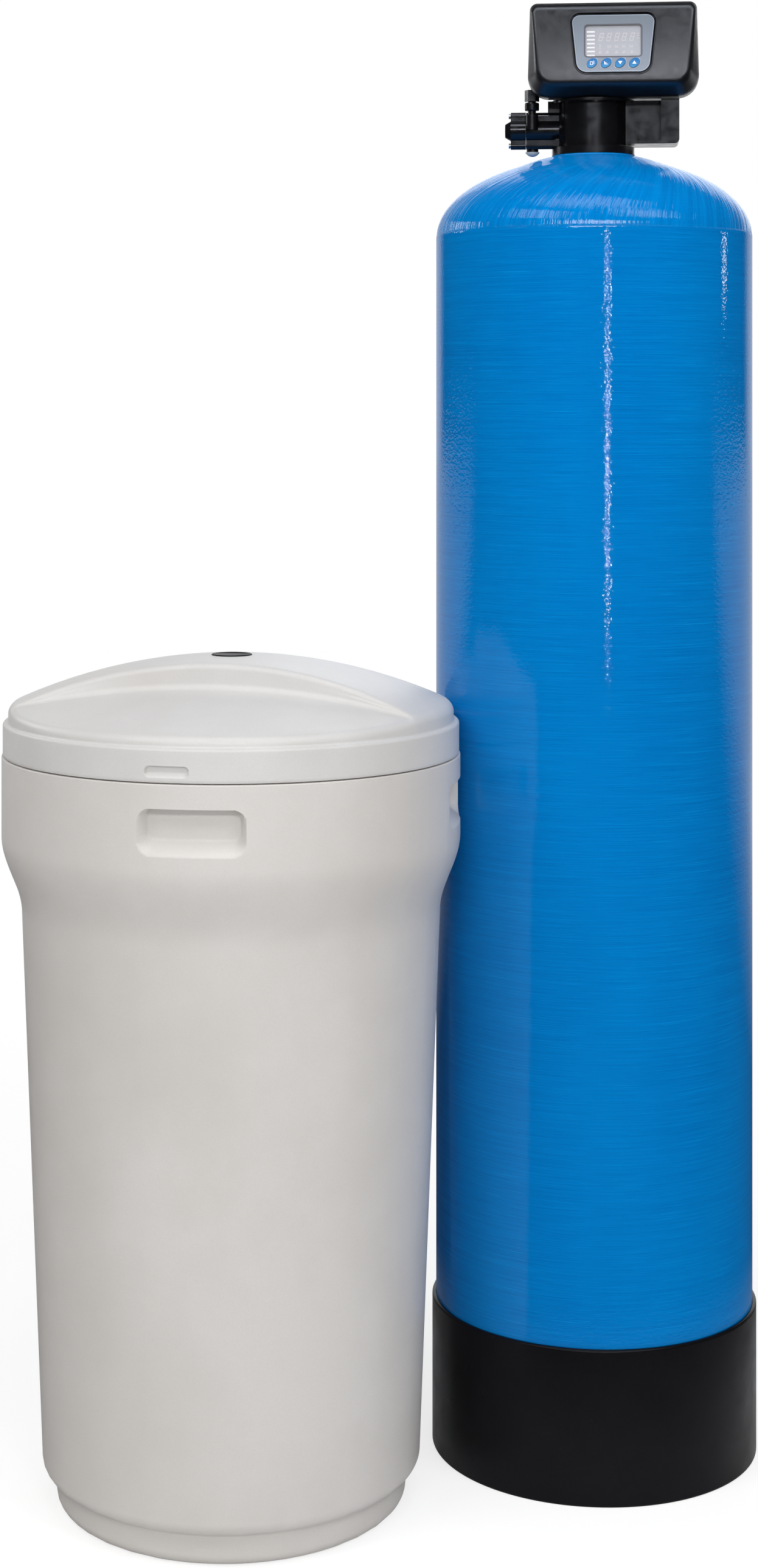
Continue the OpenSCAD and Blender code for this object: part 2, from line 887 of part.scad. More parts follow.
// Vessel
module vessel_boot() {
  color([0.07, 0.07, 0.075]) {
    rotate_extrude() polygon(concat(
      [[0, 0]],
      arc(boot_r - boot_round, boot_round, boot_round, -90, 0),
      arc(boot_r - boot_round, boot_h - boot_round, boot_round, 0, 90),
      [[boot_r - boot_wall, boot_h], [boot_r - boot_wall, boot_floor], [0, boot_floor]]
    ));
    ring_top = low_z - ellipse_z(vessel_r, dome_h, boot_ring_r) - seat_gap;
    translate([0, 0, boot_floor - eps])
      ring(boot_ring_r + boot_wall, boot_ring_r, ring_top - boot_floor + eps);
  }
}

module vessel_shell() {
  color([0.0, 0.42, 0.72]) rotate_extrude() polygon(concat(
    vessel_side(0, neck_r),
    [[neck_r, vessel_h], [neck_r - wound_wall, vessel_h]],
    reverse(vessel_side(wound_wall, neck_r - wound_wall))
  ));
}

module vessel_liner() {
  color([0.85, 0.88, 0.9]) rotate_extrude() polygon(concat(
    vessel_side(liner_out, neck_r - liner_out),
    [[neck_r - liner_out, vessel_h], [neck_bore_r, vessel_h]],
    reverse(vessel_side(liner_in, neck_bore_r))
  ));
}

module resin_bed() {
  a = vessel_r - liner_in - seat_gap;
  b = dome_h - liner_in - seat_gap;
  hole_r = strainer_r + fit_gap;
  first = acos(hole_r / a);
  color([0.72, 0.45, 0.15]) rotate_extrude() polygon(concat(
    [for (i = [dome_steps:-1:0]) let (t = first * i / dome_steps) [a * cos(t), low_z - b * sin(t)]],
    [
      [a, resin_top], [riser_r + fit_gap, resin_top],
      [riser_r + fit_gap, strainer_top + fit_gap], [hole_r, strainer_top + fit_gap]
    ]
  ));
}

module riser_tube() {
  color([0.9, 0.9, 0.88]) translate([0, 0, riser_z + seat_gap])
    ring(riser_r, riser_r - riser_wall, riser_top - riser_z - seat_gap);
}

module bottom_strainer() {
  socket_r = riser_r + fit_gap;
  color([0.9, 0.9, 0.88]) difference() {
    translate([0, 0, strainer_z]) cylinder(r = strainer_r, h = strainer_h);
    difference() {
      translate([0, 0, strainer_z + strainer_wall])
        cylinder(r = strainer_r - strainer_wall, h = strainer_h - 2 * strainer_wall);
      translate([0, 0, riser_z - strainer_wall]) cylinder(r = socket_r + strainer_wall, h = strainer_h);
    }
    translate([0, 0, riser_z]) cylinder(r = socket_r, h = strainer_socket + over);
    translate([0, 0, strainer_z + strainer_wall]) cylinder(r = riser_r - riser_wall, h = strainer_h);
    strainer_slots(strainer_r, strainer_z + slot_inset, strainer_h - 2 * slot_inset);
  }
}

module top_strainer() {
  top_z = vessel_h - thread_len - seat_gap;
  low = top_z - top_strainer_h;
  outer = annulus_r - fit_gap;
  color([0.9, 0.9, 0.88]) difference() {
    translate([0, 0, low]) cylinder(r = outer, h = top_strainer_h + top_strainer_in);
    translate([0, 0, low + strainer_wall])
      cylinder(r = outer - strainer_wall, h = top_strainer_h + top_strainer_in);
    translate([0, 0, low - over]) cylinder(r = riser_r + fit_gap, h = top_strainer_h);
    strainer_slots(outer, low + slot_inset, top_strainer_h - 2 * slot_inset);
  }
}

// Valve body
// Round bar from x to x_end, parallel to the injector's axis and lifted above it
module along_injector(x, x_end, lift, r) {
  rod([x, injector_y, injector_z + lift], [x_end, injector_y, injector_z + lift], r);
}

module injector_section(x, length, grow = 0) {
  for (lobe = [[0, injector_r], [lobe_pitch, lobe_r], [-lobe_pitch, lobe_r]])
    along_injector(x, x + length, lobe[0], lobe[1] + grow);
  block(
    [x, injector_y - lobe_r, injector_z - lobe_pitch],
    [x + length, injector_y + lobe_r, injector_z + lobe_pitch]
  );
}

module drain_block() {
  low = [0, -block_front, block_z];
  high = [block_x, block_back, block_top];
  difference() {
    intersection() {
      block(low, high);
      translate([0, block_back + over, 0]) rotate([90, 0, 0])
        linear_extrude(block_front + block_back + 2 * over) polygon(concat(
          [[0, block_z]],
          arc(block_x - block_round, block_z + block_round, block_round, -90, 0),
          [[block_x, block_top], [0, block_top]]
        ));
    }
    block(
      [-over, -block_front - over, block_z + block_lip],
      [block_x - block_column, -block_front + block_recess, block_top + over]
    );
    block(
      [-over, -block_front - over, block_z - over],
      [body_r - panel_gap, -block_front + block_recess, block_top + over]
    );
  }
}

// Round bar on the axis of the inlet, on side -1, or of the outlet, on side 1
module along_port(side, y, y_end, r) {
  rod([side * port_x, y, port_z], [side * port_x, y_end, port_z], r);
}

module valve_solid() {
  translate([0, 0, vessel_h - thread_len]) cylinder(r = thread_r, h = thread_len + flange_h);
  translate([0, 0, vessel_h + seat_gap]) cylinder(r = flange_r, h = flange_h - seat_gap);
  translate([0, 0, vessel_h + flange_h - eps])
    cylinder(r = body_r, h = body_top - vessel_h - flange_h + eps);
  translate([0, 0, head_z - collar_h]) cylinder(r = collar_r, h = collar_h);
  block([-shelf_x, -shelf_front, head_z - shelf_h], [0, shelf_back, head_z]);
  for (side = [-1, 1]) {
    along_port(side, 0, port_end_y, port_d / 2);
    along_port(side, port_collar_y, port_collar_y + port_collar_t, port_d / 2 + port_collar);
  }
  drain_block();
  injector_section(-injector_face_x, injector_face_x - body_r + body_wall);
  translate([connector_px, connector_py, injector_z])
    cylinder(r = socket_r, h = connector_socket_z - injector_z);
  translate([connector_px, plug_py, plug_top])
    cylinder(r = plug_boss_r, h = injector_z - plug_top);
}

module valve_ways() {
  low = vessel_h - thread_len - over;
  translate([0, 0, chamber_z]) cylinder(r = chamber_r, h = body_top);
  difference() {
    translate([0, 0, low]) cylinder(r = annulus_r, h = thread_len + over - annulus_roof);
    translate([0, 0, low - over]) cylinder(r = sleeve_r, h = thread_len + 2 * over);
  }
  translate([0, 0, low])
    cylinder(r = riser_r + fit_gap, h = thread_len + over + riser_rise + seat_gap);
  translate([0, 0, vessel_h]) cylinder(r = way_r, h = chamber_rise + over);
  translate([0, 0, riser_seal_z - riser_seal_r - fit_gap / 2])
    cylinder(r = riser_seal_ring_r + riser_seal_r + fit_gap, h = 2 * riser_seal_r + fit_gap);
  translate([0, 0, vessel_h - over])
    ring(seal_ring_r + seal_r + fit_gap, thread_r + eps, 2 * seal_r + seat_gap + fit_gap + over);
  for (a = rise_angles) rotate(a)
    translate([(sleeve_r + annulus_r) / 2, 0, vessel_h - annulus_roof - 1])
      cylinder(r = rise_r, h = chamber_rise + annulus_roof + over);
  for (side = [-1, 1]) {
    inner = [side * way_in[0], way_in[1], port_z];
    turn = [side * way_up[0], way_up[1], port_z];
    along_port(side, cage_y - fit_gap, port_end_y + over, port_bore / 2);
    along_port(side, way_in[1], cage_y, port_bore / 2 - port_throat);
    rod(inner, turn, way_r);
    rod(turn, turn + [0, 0, chamber_z - port_z + over], way_r - 1);
  }
  rod(
    [drain_x, block_back + over, drain_z],
    [drain_x, -block_front + block_recess + drain_front, drain_z], drain_bore_r
  );
  along_injector(-injector_face_x - over, -throat_x, 0, injector_bore_r);
  along_injector(-throat_x - 1, -chamber_r - injector_end, 0, injector_bore_r - injector_end);
  translate([connector_px, connector_py, connector_z])
    cylinder(r = connector_r + fit_gap, h = connector_socket_z);
  translate([connector_px, plug_py, plug_z])
    cylinder(r = plug_hole_r, h = plug_hole_h + plug_bulge);
  rod([connector_px, connector_py, connector_z], [connector_px, injector_y, injector_z], connector_way_r);
  for (side = [-1, 1])
    along_injector(
      -injector_face_x - over, -injector_face_x + screw_depth + screw_end,
      side * lobe_pitch, screw_r + fit_gap / 2
    );
  for (a = leg_angles) rotate(a) translate([leg_pcd, 0, body_top - leg_screw_l - over])
    cylinder(r = screw_r + fit_gap / 2, h = leg_screw_l + 2 * over);
}

module valve_body() {
  color([0.08, 0.08, 0.085]) difference() {
    valve_solid();
    valve_ways();
  }
}

module neck_seal() {
  color([0.05, 0.05, 0.05]) translate([0, 0, vessel_h + seat_gap / 2 + seal_r])
    torus(seal_ring_r, seal_r);
}

module riser_seal() {
  color([0.05, 0.05, 0.05]) translate([0, 0, riser_seal_z]) torus(riser_seal_ring_r, riser_seal_r);
}

// Water holes through the gasket and both discs
module disc_holes(z, h) {
  for (a = concat([port_turn, 180 - port_turn], rise_angles)) rotate(a)
    translate([way_pcd, 0, z - over]) cylinder(r = rise_r, h = h + 2 * over);
  translate([0, 0, z - over]) cylinder(r = way_r - 1, h = h + 2 * over);
}

module disc(z, h, r) {
  difference() {
    translate([0, 0, z]) cylinder(r = r, h = h);
    disc_holes(z, h);
  }
}

module disc_gasket() {
  color([0.06, 0.06, 0.06]) disc(gasket_z, gasket_t, chamber_r - fit_gap);
}

module fixed_disc() {
  color([0.9, 0.88, 0.84]) disc(fixed_z, fixed_t, chamber_r - fit_gap);
}

module moving_disc() {
  color([0.88, 0.87, 0.86]) disc(moving_z, moving_t, chamber_r - 2 * fit_gap);
}

module drive_stem() {
  color([0.75, 0.75, 0.72]) {
    translate([0, 0, plate_z]) cylinder(r = chamber_r - 3 * fit_gap, h = plate_t);
    translate([0, 0, plate_z]) cylinder(r = stem_r, h = gear_z + gear_t - plate_z);
    translate([0, 0, plate_z]) cylinder(r = journal_r, h = bracket_z + bracket_t - plate_z);
  }
}

module thrust_washer() {
  color([0.95, 0.95, 0.93]) translate([0, 0, washer_z])
    ring(chamber_r - 2 * fit_gap, stem_r + run_gap, washer_t);
}

module body_cap() {
  color([0.1, 0.1, 0.1]) difference() {
    union() {
      translate([0, 0, cap_z]) cylinder(r = chamber_r - fit_gap, h = body_top - cap_z + eps);
      translate([0, 0, body_top]) cylinder(r = chamber_r - 1, h = cap_hex_t, $fn = 6);
    }
    translate([0, 0, cap_z - over])
      cylinder(r = stem_r + run_gap, h = cap_h + cap_hex_t + 2 * over);
  }
}

module drive_gear() {
  color([0.92, 0.92, 0.9]) difference() {
    translate([0, 0, gear_z])
      linear_extrude(gear_t) polygon(gear_outline(gear_teeth, gear_module, backlash));
    translate([0, 0, gear_z - over]) cylinder(r = stem_r + key_gap, h = gear_t + 2 * over);
    for (a = [30:60:330]) rotate(a) translate([(stem_r + gear_r) / 2, 0, gear_z - over])
      cylinder(r = (gear_r - stem_r) / 4, h = gear_t + 2 * over);
  }
}

module pinion() {
  color([0.75, 0.68, 0.4]) translate([motor_x, 0, 0]) {
    translate([0, 0, gear_z - pinion_over]) rotate(180 - 180 / pinion_teeth)
      linear_extrude(gear_t + 2 * pinion_over)
        polygon(gear_outline(pinion_teeth, gear_module, backlash));
    translate([0, 0, gear_z]) cylinder(r = pinion_shaft_r, h = motor_z - gear_z + shaft_len);
  }
}

module gear_bracket() {
  color([0.12, 0.12, 0.13]) difference() {
    union() {
      translate([0, 0, bracket_z]) cylinder(r = body_r - 1, h = bracket_t);
      translate([motor_x, 0, bracket_z]) cylinder(r = motor_r + bracket_rim, h = bracket_t);
      for (a = leg_angles) rotate(a) translate([leg_pcd, 0, body_top])
        cylinder(r = leg_r, h = bracket_z - body_top + eps);
    }
    translate([0, 0, bracket_z - over])
      cylinder(r = journal_r + run_gap, h = bracket_t + 2 * over);
    translate([motor_x, 0, bracket_z - over])
      cylinder(r = pinion_shaft_r + shaft_gap, h = bracket_t + 2 * over);
    for (a = leg_angles) rotate(a) translate([leg_pcd, 0, body_top - over])
      cylinder(r = screw_r + fit_gap / 2, h = bracket_z - body_top + bracket_t + 2 * over);
    for (side = [-1, 1]) translate([motor_x, side * motor_screw_y, bracket_z - over])
      cylinder(r = screw_r + fit_gap / 2, h = bracket_t + 2 * over);
  }
}

module drive_screws() {
  color([0.75, 0.75, 0.77]) {
    for (a = leg_angles) rotate(a) translate([leg_pcd, 0, motor_z])
      screw(motor_z - body_top + leg_screw_l);
    for (side = [-1, 1]) translate([motor_x, side * motor_screw_y, bracket_z])
      mirror([0, 0, 1]) screw(bracket_t + motor_hole - 1);
  }
}

module gear_motor() {
  color([0.6, 0.6, 0.62]) difference() {
    union() {
      translate([motor_x, 0, motor_z]) cylinder(r = motor_r, h = motor_h * motor_case_share);
      translate([motor_x, 0, motor_z]) cylinder(r = motor_r - motor_step, h = motor_h);
      for (side = [-1, 1]) block(
        [motor_x + side * motor_tab - tab_w / 2, -tab_t / 2, motor_z + motor_h - 1],
        [motor_x + side * motor_tab + tab_w / 2, tab_t / 2, motor_z + motor_h + motor_tab]
      );
    }
    translate([motor_x, 0, motor_z - over])
      cylinder(r = pinion_shaft_r + run_gap, h = shaft_len + run_gap + over);
    for (side = [-1, 1]) translate([motor_x, side * motor_screw_y, motor_z - over])
      cylinder(r = screw_r + fit_gap / 2, h = motor_hole + over);
  }
}

// Water meter
module in_outlet(y) {
  translate([port_x, y, port_z]) rotate([-90, 0, 0]) children();
}

module meter_cage() {
  inner_r = cage_r - cage_wall;
  hole_r = (inner_r - cage_hub_r) / 2 - cage_web;
  color([0.9, 0.9, 0.88]) in_outlet(cage_y) difference() {
    cylinder(r = cage_r, h = cage_l);
    translate([0, 0, cage_plate_t]) ring(inner_r, pin_r, cage_l - 2 * cage_plate_t);
    for (i = [0:cage_holes - 1]) rotate(360 * i / cage_holes)
      translate([(inner_r + cage_hub_r) / 2, 0, -over]) cylinder(r = hole_r, h = cage_l + 2 * over);
  }
}

module meter_impeller() {
  color([0.95, 0.95, 0.92]) in_outlet(impeller_y) difference() {
    union() {
      cylinder(r = impeller_hub_r, h = impeller_l);
      for (a = [0:60:300]) rotate(a) rotate([blade_turn, 0, 0])
        translate([0, -blade_t / 2, 1]) cube([impeller_r, blade_t, impeller_l - 2]);
    }
    translate([0, 0, -over]) cylinder(r = pin_r + run_gap / 2, h = impeller_l + 2 * over);
  }
}

// Round bar on the drain's axis
module along_drain(y, y_end, r) {
  rod([drain_x, y, drain_z], [drain_x, y_end, drain_z], r);
}

module drain_fitting() {
  y = block_back + seat_gap;
  color([0.1, 0.1, 0.1]) difference() {
    union() {
      along_drain(y - drain_spigot, y + eps, drain_bore_r - fit_gap);
      along_drain(y, y + drain_flange_t, drain_d / 2 + drain_flange);
      along_drain(y, drain_end_y, drain_d / 2);
    }
    along_drain(y - drain_spigot - over, drain_end_y + over, drain_tube_r);
  }
}

// Injector
module at_injector(x, lift = 0) {
  translate([-x, injector_y, injector_z + lift]) rotate([0, -90, 0]) children();
}

module injector_cover() {
  color([0.08, 0.08, 0.085]) difference() {
    union() {
      injector_section(-cover_end, injector_cover_l, cover_step);
      at_injector(cover_end - eps) cylinder(
        r1 = injector_r, r2 = injector_r - injector_dome_l * dome_taper, h = injector_dome_l
      );
    }
    along_injector(-cover_x - nozzle_l - seat_gap, -cover_x + over, 0, injector_bore_r);
    for (side = [-1, 1])
      along_injector(-cover_end - over, -cover_x + over, side * lobe_pitch, screw_r + fit_gap / 2);
  }
}

module injector_nozzle() {
  r = injector_bore_r - fit_gap;
  color([0.85, 0.2, 0.15]) at_injector(cover_x) difference() {
    cylinder(r = r, h = nozzle_l);
    translate([0, 0, -over]) cylinder(r = nozzle_hole_r, h = nozzle_l + 2 * over);
    translate([0, 0, nozzle_l - nozzle_flare])
      cylinder(r1 = nozzle_hole_r, r2 = r - cone_rim, h = nozzle_flare + eps);
  }
}

module injector_throat() {
  r = injector_bore_r - fit_gap;
  color([0.9, 0.9, 0.88]) at_injector(throat_x) difference() {
    cylinder(r = r, h = throat_l);
    translate([0, 0, -over]) cylinder(r = throat_hole_r, h = throat_l + 2 * over);
    translate([0, 0, -eps]) cylinder(r1 = r - cone_rim, r2 = throat_hole_r, h = throat_flare);
  }
}

module injector_screws() {
  color([0.8, 0.8, 0.82]) for (side = [-1, 1])
    at_injector(cover_end + cover_step, side * lobe_pitch) screw(injector_cover_l + screw_depth);
}

// Brine connector
module brine_connector() {
  color([0.07, 0.07, 0.07]) translate([connector_px, connector_py, 0]) difference() {
    union() {
      translate([0, 0, connector_z + seat_gap])
        cylinder(r = connector_r, h = connector_top - nut_overlap - connector_z);
      translate([0, 0, connector_socket_z + seat_gap])
        cylinder(r = socket_r, h = connector_collar_t);
    }
    translate([0, 0, connector_z + connector_stop])
      cylinder(r = connector_bore / 2, h = connector_top);
    translate([0, 0, connector_z - over]) cylinder(r = connector_way_r, h = connector_top);
  }
}

module brine_nut() {
  color([0.07, 0.07, 0.07]) translate([connector_px, connector_py, 0]) difference() {
    translate([0, 0, connector_top - nut_h]) cylinder(r = nut_d / 2, h = nut_h, $fn = 6);
    translate([0, 0, connector_top - nut_h - over])
      cylinder(r = connector_r + fit_gap / 2, h = nut_h + 2 * over);
  }
}

module connector_ring() {
  color([0.07, 0.07, 0.07]) translate([connector_px, connector_py, vessel_h + ring_rise]) difference() {
    intersection() {
      cylinder(r = ring_r, h = ring_h);
      translate([0, 0, ring_h / 2]) sphere(r = ring_r + ring_crown);
    }
    translate([0, 0, -over]) cylinder(r = connector_r + fit_gap / 2, h = ring_h + 2 * over);
  }
}

module brine_port_plug() {
  bulge = plug_bulge - seat_gap;
  ball = (ring_r * ring_r + bulge * bulge) / (2 * bulge);
  color([0.9, 0.9, 0.88]) translate([connector_px, plug_py, 0]) {
    intersection() {
      translate([0, 0, plug_z]) cylinder(r = ring_r, h = bulge);
      translate([0, 0, plug_z + ball]) sphere(r = ball);
    }
    translate([0, 0, plug_top - seat_gap - eps]) cylinder(r = plug_hole_r - fit_gap, h = plug_stem);
  }
}

// Head
module head_form(inset, face_in, back) {
  hull() {
    on_face() translate([0, 0, -face_in - face_slice]) linear_extrude(face_slice) polygon(trapezoid(
      face_top_w - 2 * inset, face_bottom_w - 2 * inset, face_h - 2 * inset,
      face_round_top - inset, face_round_low - inset
    ));
    translate([head_x, -split_y + back, (head_top + head_low) / 2]) rotate([90, 0, 0])
      linear_extrude(shoulder_y - split_y + back) polygon(trapezoid(
        head_top_w - 2 * inset, head_bottom_w - 2 * inset, head_top - head_low - 2 * inset,
        head_round_top - inset, head_round_low - inset
      ));
  }
}

module body_hole() {
  translate([0, 0, head_low - over])
    cylinder(r = body_hole_r, h = head_wall + rear_low_step + 2 * over);
}

module fascia_shape(grow = 0) {
  translate([0, fascia_mid]) polygon(trapezoid(
    fascia_top_w + 2 * grow, fascia_bottom_w + 2 * grow, fascia_h + 2 * grow,
    fascia_round_top + grow, fascia_round_low + grow
  ));
}

module at_buttons() {
  for (i = [0:3]) translate([(i - 1.5) * button_pitch, button_mid]) children();
}

module button_shape(grow = 0) {
  polygon(ellipse(button_l + 2 * grow, button_w + 2 * grow, button_turn));
}

// Screw posts of the control board, on the head's face
module at_board_posts(z) {
  for (x = [-1, 1]) for (y = [-1, 1])
    translate([x * board_post_x, y * board_post_y, z]) children();
}

module window_shape(grow) {
  translate([0, window_mid])
    polygon(rounded(window_w + 2 * grow, window_h + 2 * grow, window_round));
}

module head_front() {
  color([0.13, 0.13, 0.14]) difference() {
    union() {
      difference() {
        head_form(0, 0, 0);
        head_form(head_wall, face_wall, over);
      }
      on_face() at_board_posts(-board_depth)
        cylinder(r = board_post_r, h = board_depth - face_wall + eps);
    }
    on_face() {
      translate([0, 0, -recess_depth])
        linear_extrude(recess_depth + over) fascia_shape(fascia_groove);
      translate([0, 0, -face_wall - over]) linear_extrude(face_wall + 2 * over) {
        window_shape(fit_gap);
        at_buttons() button_shape(fit_gap);
      }
      at_board_posts(-board_depth - over)
        cylinder(r = screw_r + fit_gap / 2, h = board_depth - face_wall + over);
    }
    body_hole();
  }
}

module head_plate() {
  inset = head_wall + fit_gap;
  color([0.16, 0.16, 0.17]) difference() {
    translate([head_x, -split_y, (head_top + head_low) / 2]) rotate([90, 0, 0])
      linear_extrude(plate_t_head) polygon(trapezoid(
        head_top_w - 2 * inset, head_bottom_w - 2 * inset, head_top - head_low - 2 * inset,
        head_round_top - inset, head_round_low - inset
      ));
    block(
      [-body_r - plate_gap, -split_y - plate_t_head - over, head_low],
      [motor_x + motor_r + plate_gap, -split_y + over, motor_z + motor_h + motor_tab + plate_gap]
    );
    at_posts() translate([0, 0, split_y - over])
      cylinder(r = screw_r + fit_gap / 2, h = plate_t_head + 2 * over);
  }
}

// Screw posts of the rear cover, with Z toward the front
module at_posts() {
  for (x = [-1, 1]) for (z = [-1, 1])
    translate([rear_x + x * post_x, 0, rear_mid_z + z * post_z]) rotate([90, 0, 0]) children();
}

// Outline of the rear cover, with its low corner away from the column rounded more
function rear_outline(inset) =
  let (
    half_w = rear_w / 2 - inset,
    half_h = rear_h / 2 - inset,
    r = rear_round - inset,
    r_far = rear_round_far - inset
  )
  concat(
    arc(half_w - r, half_h - r, r, 0, 90),
    arc(r - half_w, half_h - r, r, 90, 180),
    arc(r - half_w, r - half_h, r, 180, 270),
    arc(half_w - r_far, r_far - half_h, r_far, 270, 360)
  );

module rear_form(inset, y_front, y_back) {
  translate([rear_x, y_back, rear_mid_z]) rotate([90, 0, 0]) linear_extrude(y_back - y_front)
    polygon(rear_outline(inset));
}

// Round bar on the power socket's axis
module along_power(y, y_end, r) {
  rod([power_x, y, power_z], [power_x, y_end, power_z], r);
}

module head_rear() {
  front = -split_y + seat_gap;
  color([0.13, 0.13, 0.14]) difference() {
    union() {
      difference() {
        rear_form(0, front, rear_y);
        rear_form(head_wall, front - over, rear_y - head_wall);
      }
      intersection() {
        rear_form(eps, front, rear_y - eps);
        at_posts() translate([0, 0, -rear_y]) cylinder(r = post_r, h = rear_y - front);
      }
    }
    at_posts() translate([0, 0, -rear_y - over])
      cylinder(r = screw_r + fit_gap / 2, h = rear_y + split_y + 2 * over);
    body_hole();
    along_power(rear_y - head_wall - over, rear_y + over, power_r + fit_gap);
  }
}

module head_screws() {
  color([0.7, 0.7, 0.72]) {
    at_posts() translate([0, 0, -rear_y]) mirror([0, 0, 1]) screw(rear_y + split_y + plate_t_head);
    on_face() at_board_posts(-board_depth - board_t)
      mirror([0, 0, 1]) screw(board_t + board_screw_l);
  }
}

module fascia() {
  color([0.62, 0.66, 0.72]) on_face() difference() {
    translate([0, 0, fascia_back]) linear_extrude(fascia_t) fascia_shape();
    translate([0, 0, -recess_depth - over]) linear_extrude(recess_depth + 2 * over) {
      window_shape(fit_gap);
      at_buttons() button_shape(fit_gap);
    }
  }
}

module display_window() {
  color([0.7, 0.68, 0.72, 0.6]) on_face() translate([0, 0, window_back])
    linear_extrude(window_t) window_shape(0);
}

module display_module() {
  color([0.55, 0.56, 0.55]) on_face() translate([0, 0, -board_depth])
    linear_extrude(board_depth + window_back - seat_gap) window_shape(-display_inset);
}

module control_board() {
  switch_top = button_inner - button_flange_t - button_travel - run_gap;
  color([0.05, 0.35, 0.15]) on_face() difference() {
    union() {
      translate([-board_w / 2, -board_h / 2, -board_depth - board_t]) cube([board_w, board_h, board_t]);
      at_buttons() translate([-switch_w / 2, -switch_d / 2, -board_depth - eps])
        cube([switch_w, switch_d, board_depth + switch_top + eps]);
    }
    at_board_posts(-board_depth - board_t - over)
      cylinder(r = screw_r + fit_gap / 2, h = board_t + 2 * over);
  }
}

module button(i) {
  color([0.15, 0.55, 0.85]) on_face() translate([(i - 1.5) * button_pitch, button_mid]) {
    translate([0, 0, button_inner - button_flange_t])
      linear_extrude(button_flange_t) button_shape(button_flange);
    translate([0, 0, button_inner - eps])
      linear_extrude(fascia_back + fascia_t + button_proud - button_inner) button_shape();
  }
}

module button_menu() {
  button(0);
}

module button_back() {
  button(1);
}

module button_down() {
  button(2);
}

module button_up() {
  button(3);
}

module power_socket() {
  color([0.05, 0.05, 0.05]) difference() {
    union() {
      along_power(rear_y - head_wall - power_l, rear_y + power_rim - eps, power_r);
      along_power(rear_y + seat_gap, rear_y + power_rim, power_r + power_rim);
    }
    along_power(rear_y + power_rim - power_l, rear_y + power_rim + over, power_r - power_wall);
  }
}

// Brine tank
module grip_pocket() {
  for (a = [0:90:270]) rotate(a) block(
    [-grip_w / 2 - tank_wall, -rim_r, grip_z - grip_h / 2 - tank_wall],
    [grip_w / 2 + tank_wall, -rim_r + grip_depth + tank_wall, grip_z + grip_h / 2 + tank_wall]
  );
}

module grip_recess() {
  for (a = [0:90:270]) rotate(a) translate([0, -rim_r + grip_depth, grip_z]) rotate([90, 0, 0])
    linear_extrude(grip_depth + over) polygon(rounded(grip_w, grip_h, grip_round));
}

module wall_hole(z, r) {
  rod([rim_r - 3 * tank_wall, 0, z], [rim_r + over, 0, z], r);
}

module brine_tank() {
  outer = concat(
    [[0, 0]], tank_side(0, 0, plinth_round),
    [[rim_r, tank_h], [lip_r, tank_h], [lip_r, tank_h + lip_h]]
  );
  inner = concat(
    [[0, tank_floor]], tank_side(tank_wall, tank_floor, plinth_round - tank_wall),
    [
      [rim_r - tank_wall, tank_h - 3 * tank_wall], [lip_r - lip_wall, tank_h - tank_wall],
      [lip_r - lip_wall, tank_h + lip_h]
    ]
  );
  color([0.8, 0.79, 0.77]) at_tank() difference() {
    union() {
      rotate_extrude() polygon(concat(outer, reverse(inner)));
      intersection() {
        grip_pocket();
        rotate_extrude() polygon(concat(outer, [[0, tank_h + lip_h]]));
      }
    }
    grip_recess();
    rotate(tube_hole_bearing) wall_hole(grip_z, tube_hole_r);
    rotate(overflow_bearing) wall_hole(overflow_z, overflow_r + fit_gap);
  }
}

// One scoop of the lid, cut deeper by o on all its faces
module scoop(o) {
  edge_r = scoop_r + o * sqrt(1 + scoop_slope * scoop_slope);
  crease_z = lid_top - scoop_drop;
  wall_h = scoop_drop + over;
  crease_v = scoop_v + scoop_slope * (scoop_drop - crown_drop(scoop_v));
  start = [0, -crease_v, crease_z] - (scoop_floor_r + o) * [0, -sin(scoop_fall), cos(scoop_fall)];
  run = rim_d * [0, -cos(scoop_fall), -sin(scoop_fall)];
  difference() {
    translate([0, -scoop_v - scoop_r, crease_z - scoop_deep]) cylinder(
      r1 = edge_r - scoop_slope * (scoop_deep + scoop_drop - crown_drop(scoop_v)),
      r2 = edge_r + scoop_slope * (over + crown_drop(scoop_v)),
      h = scoop_deep + wall_h
    );
    rod(start - run, start + run, scoop_floor_r);
  }
}

// How far the crown has dropped at a distance from its middle
function crown_drop(r) = crown_ball_r - sqrt(crown_ball_r * crown_ball_r - r * r);

// The lid's outer form, or its hollow when o is the wall
module lid_form(o) {
  low = lid_z - (o > 0 ? over : 0);
  difference() {
    union() {
      translate([0, 0, low]) cylinder(r = lid_r - o, h = lid_z + skirt_h - o - low);
      intersection() {
        translate([0, 0, low]) cylinder(r = crown_r - o, h = lid_top - low);
        translate([0, 0, lid_top - crown_ball_r]) sphere(r = crown_ball_r - o, $fn = 200);
      }
    }
    for (a = [0, 180]) rotate(a) scoop(o);
  }
}

module brine_lid() {
  color([0.8, 0.79, 0.77]) at_tank() rotate(lid_turn) difference() {
    lid_form(0);
    lid_form(lid_wall);
    for (a = [0, 180]) rotate(a) translate([0, -lid_r + slot_depth, lid_z + slot_rise])
      rotate([90, 0, 0]) linear_extrude(slot_depth + over)
        polygon(rounded(slot_w, slot_h, slot_h / 2 - eps));
    translate([0, 0, plug_seat_z]) cylinder(r = plug_r + fit_gap, h = lid_h);
    translate([0, 0, plug_seat_z - 3 * lid_wall]) cylinder(r = plug_stub_r + fit_gap, h = lid_h);
  }
}

module lid_plug() {
  color([0.06, 0.06, 0.06]) at_tank() translate([0, 0, plug_seat_z]) {
    cylinder(r = plug_r, h = plug_t);
    translate([0, 0, -plug_stub_l]) cylinder(r = plug_stub_r, h = plug_stub_l + eps);
  }
}

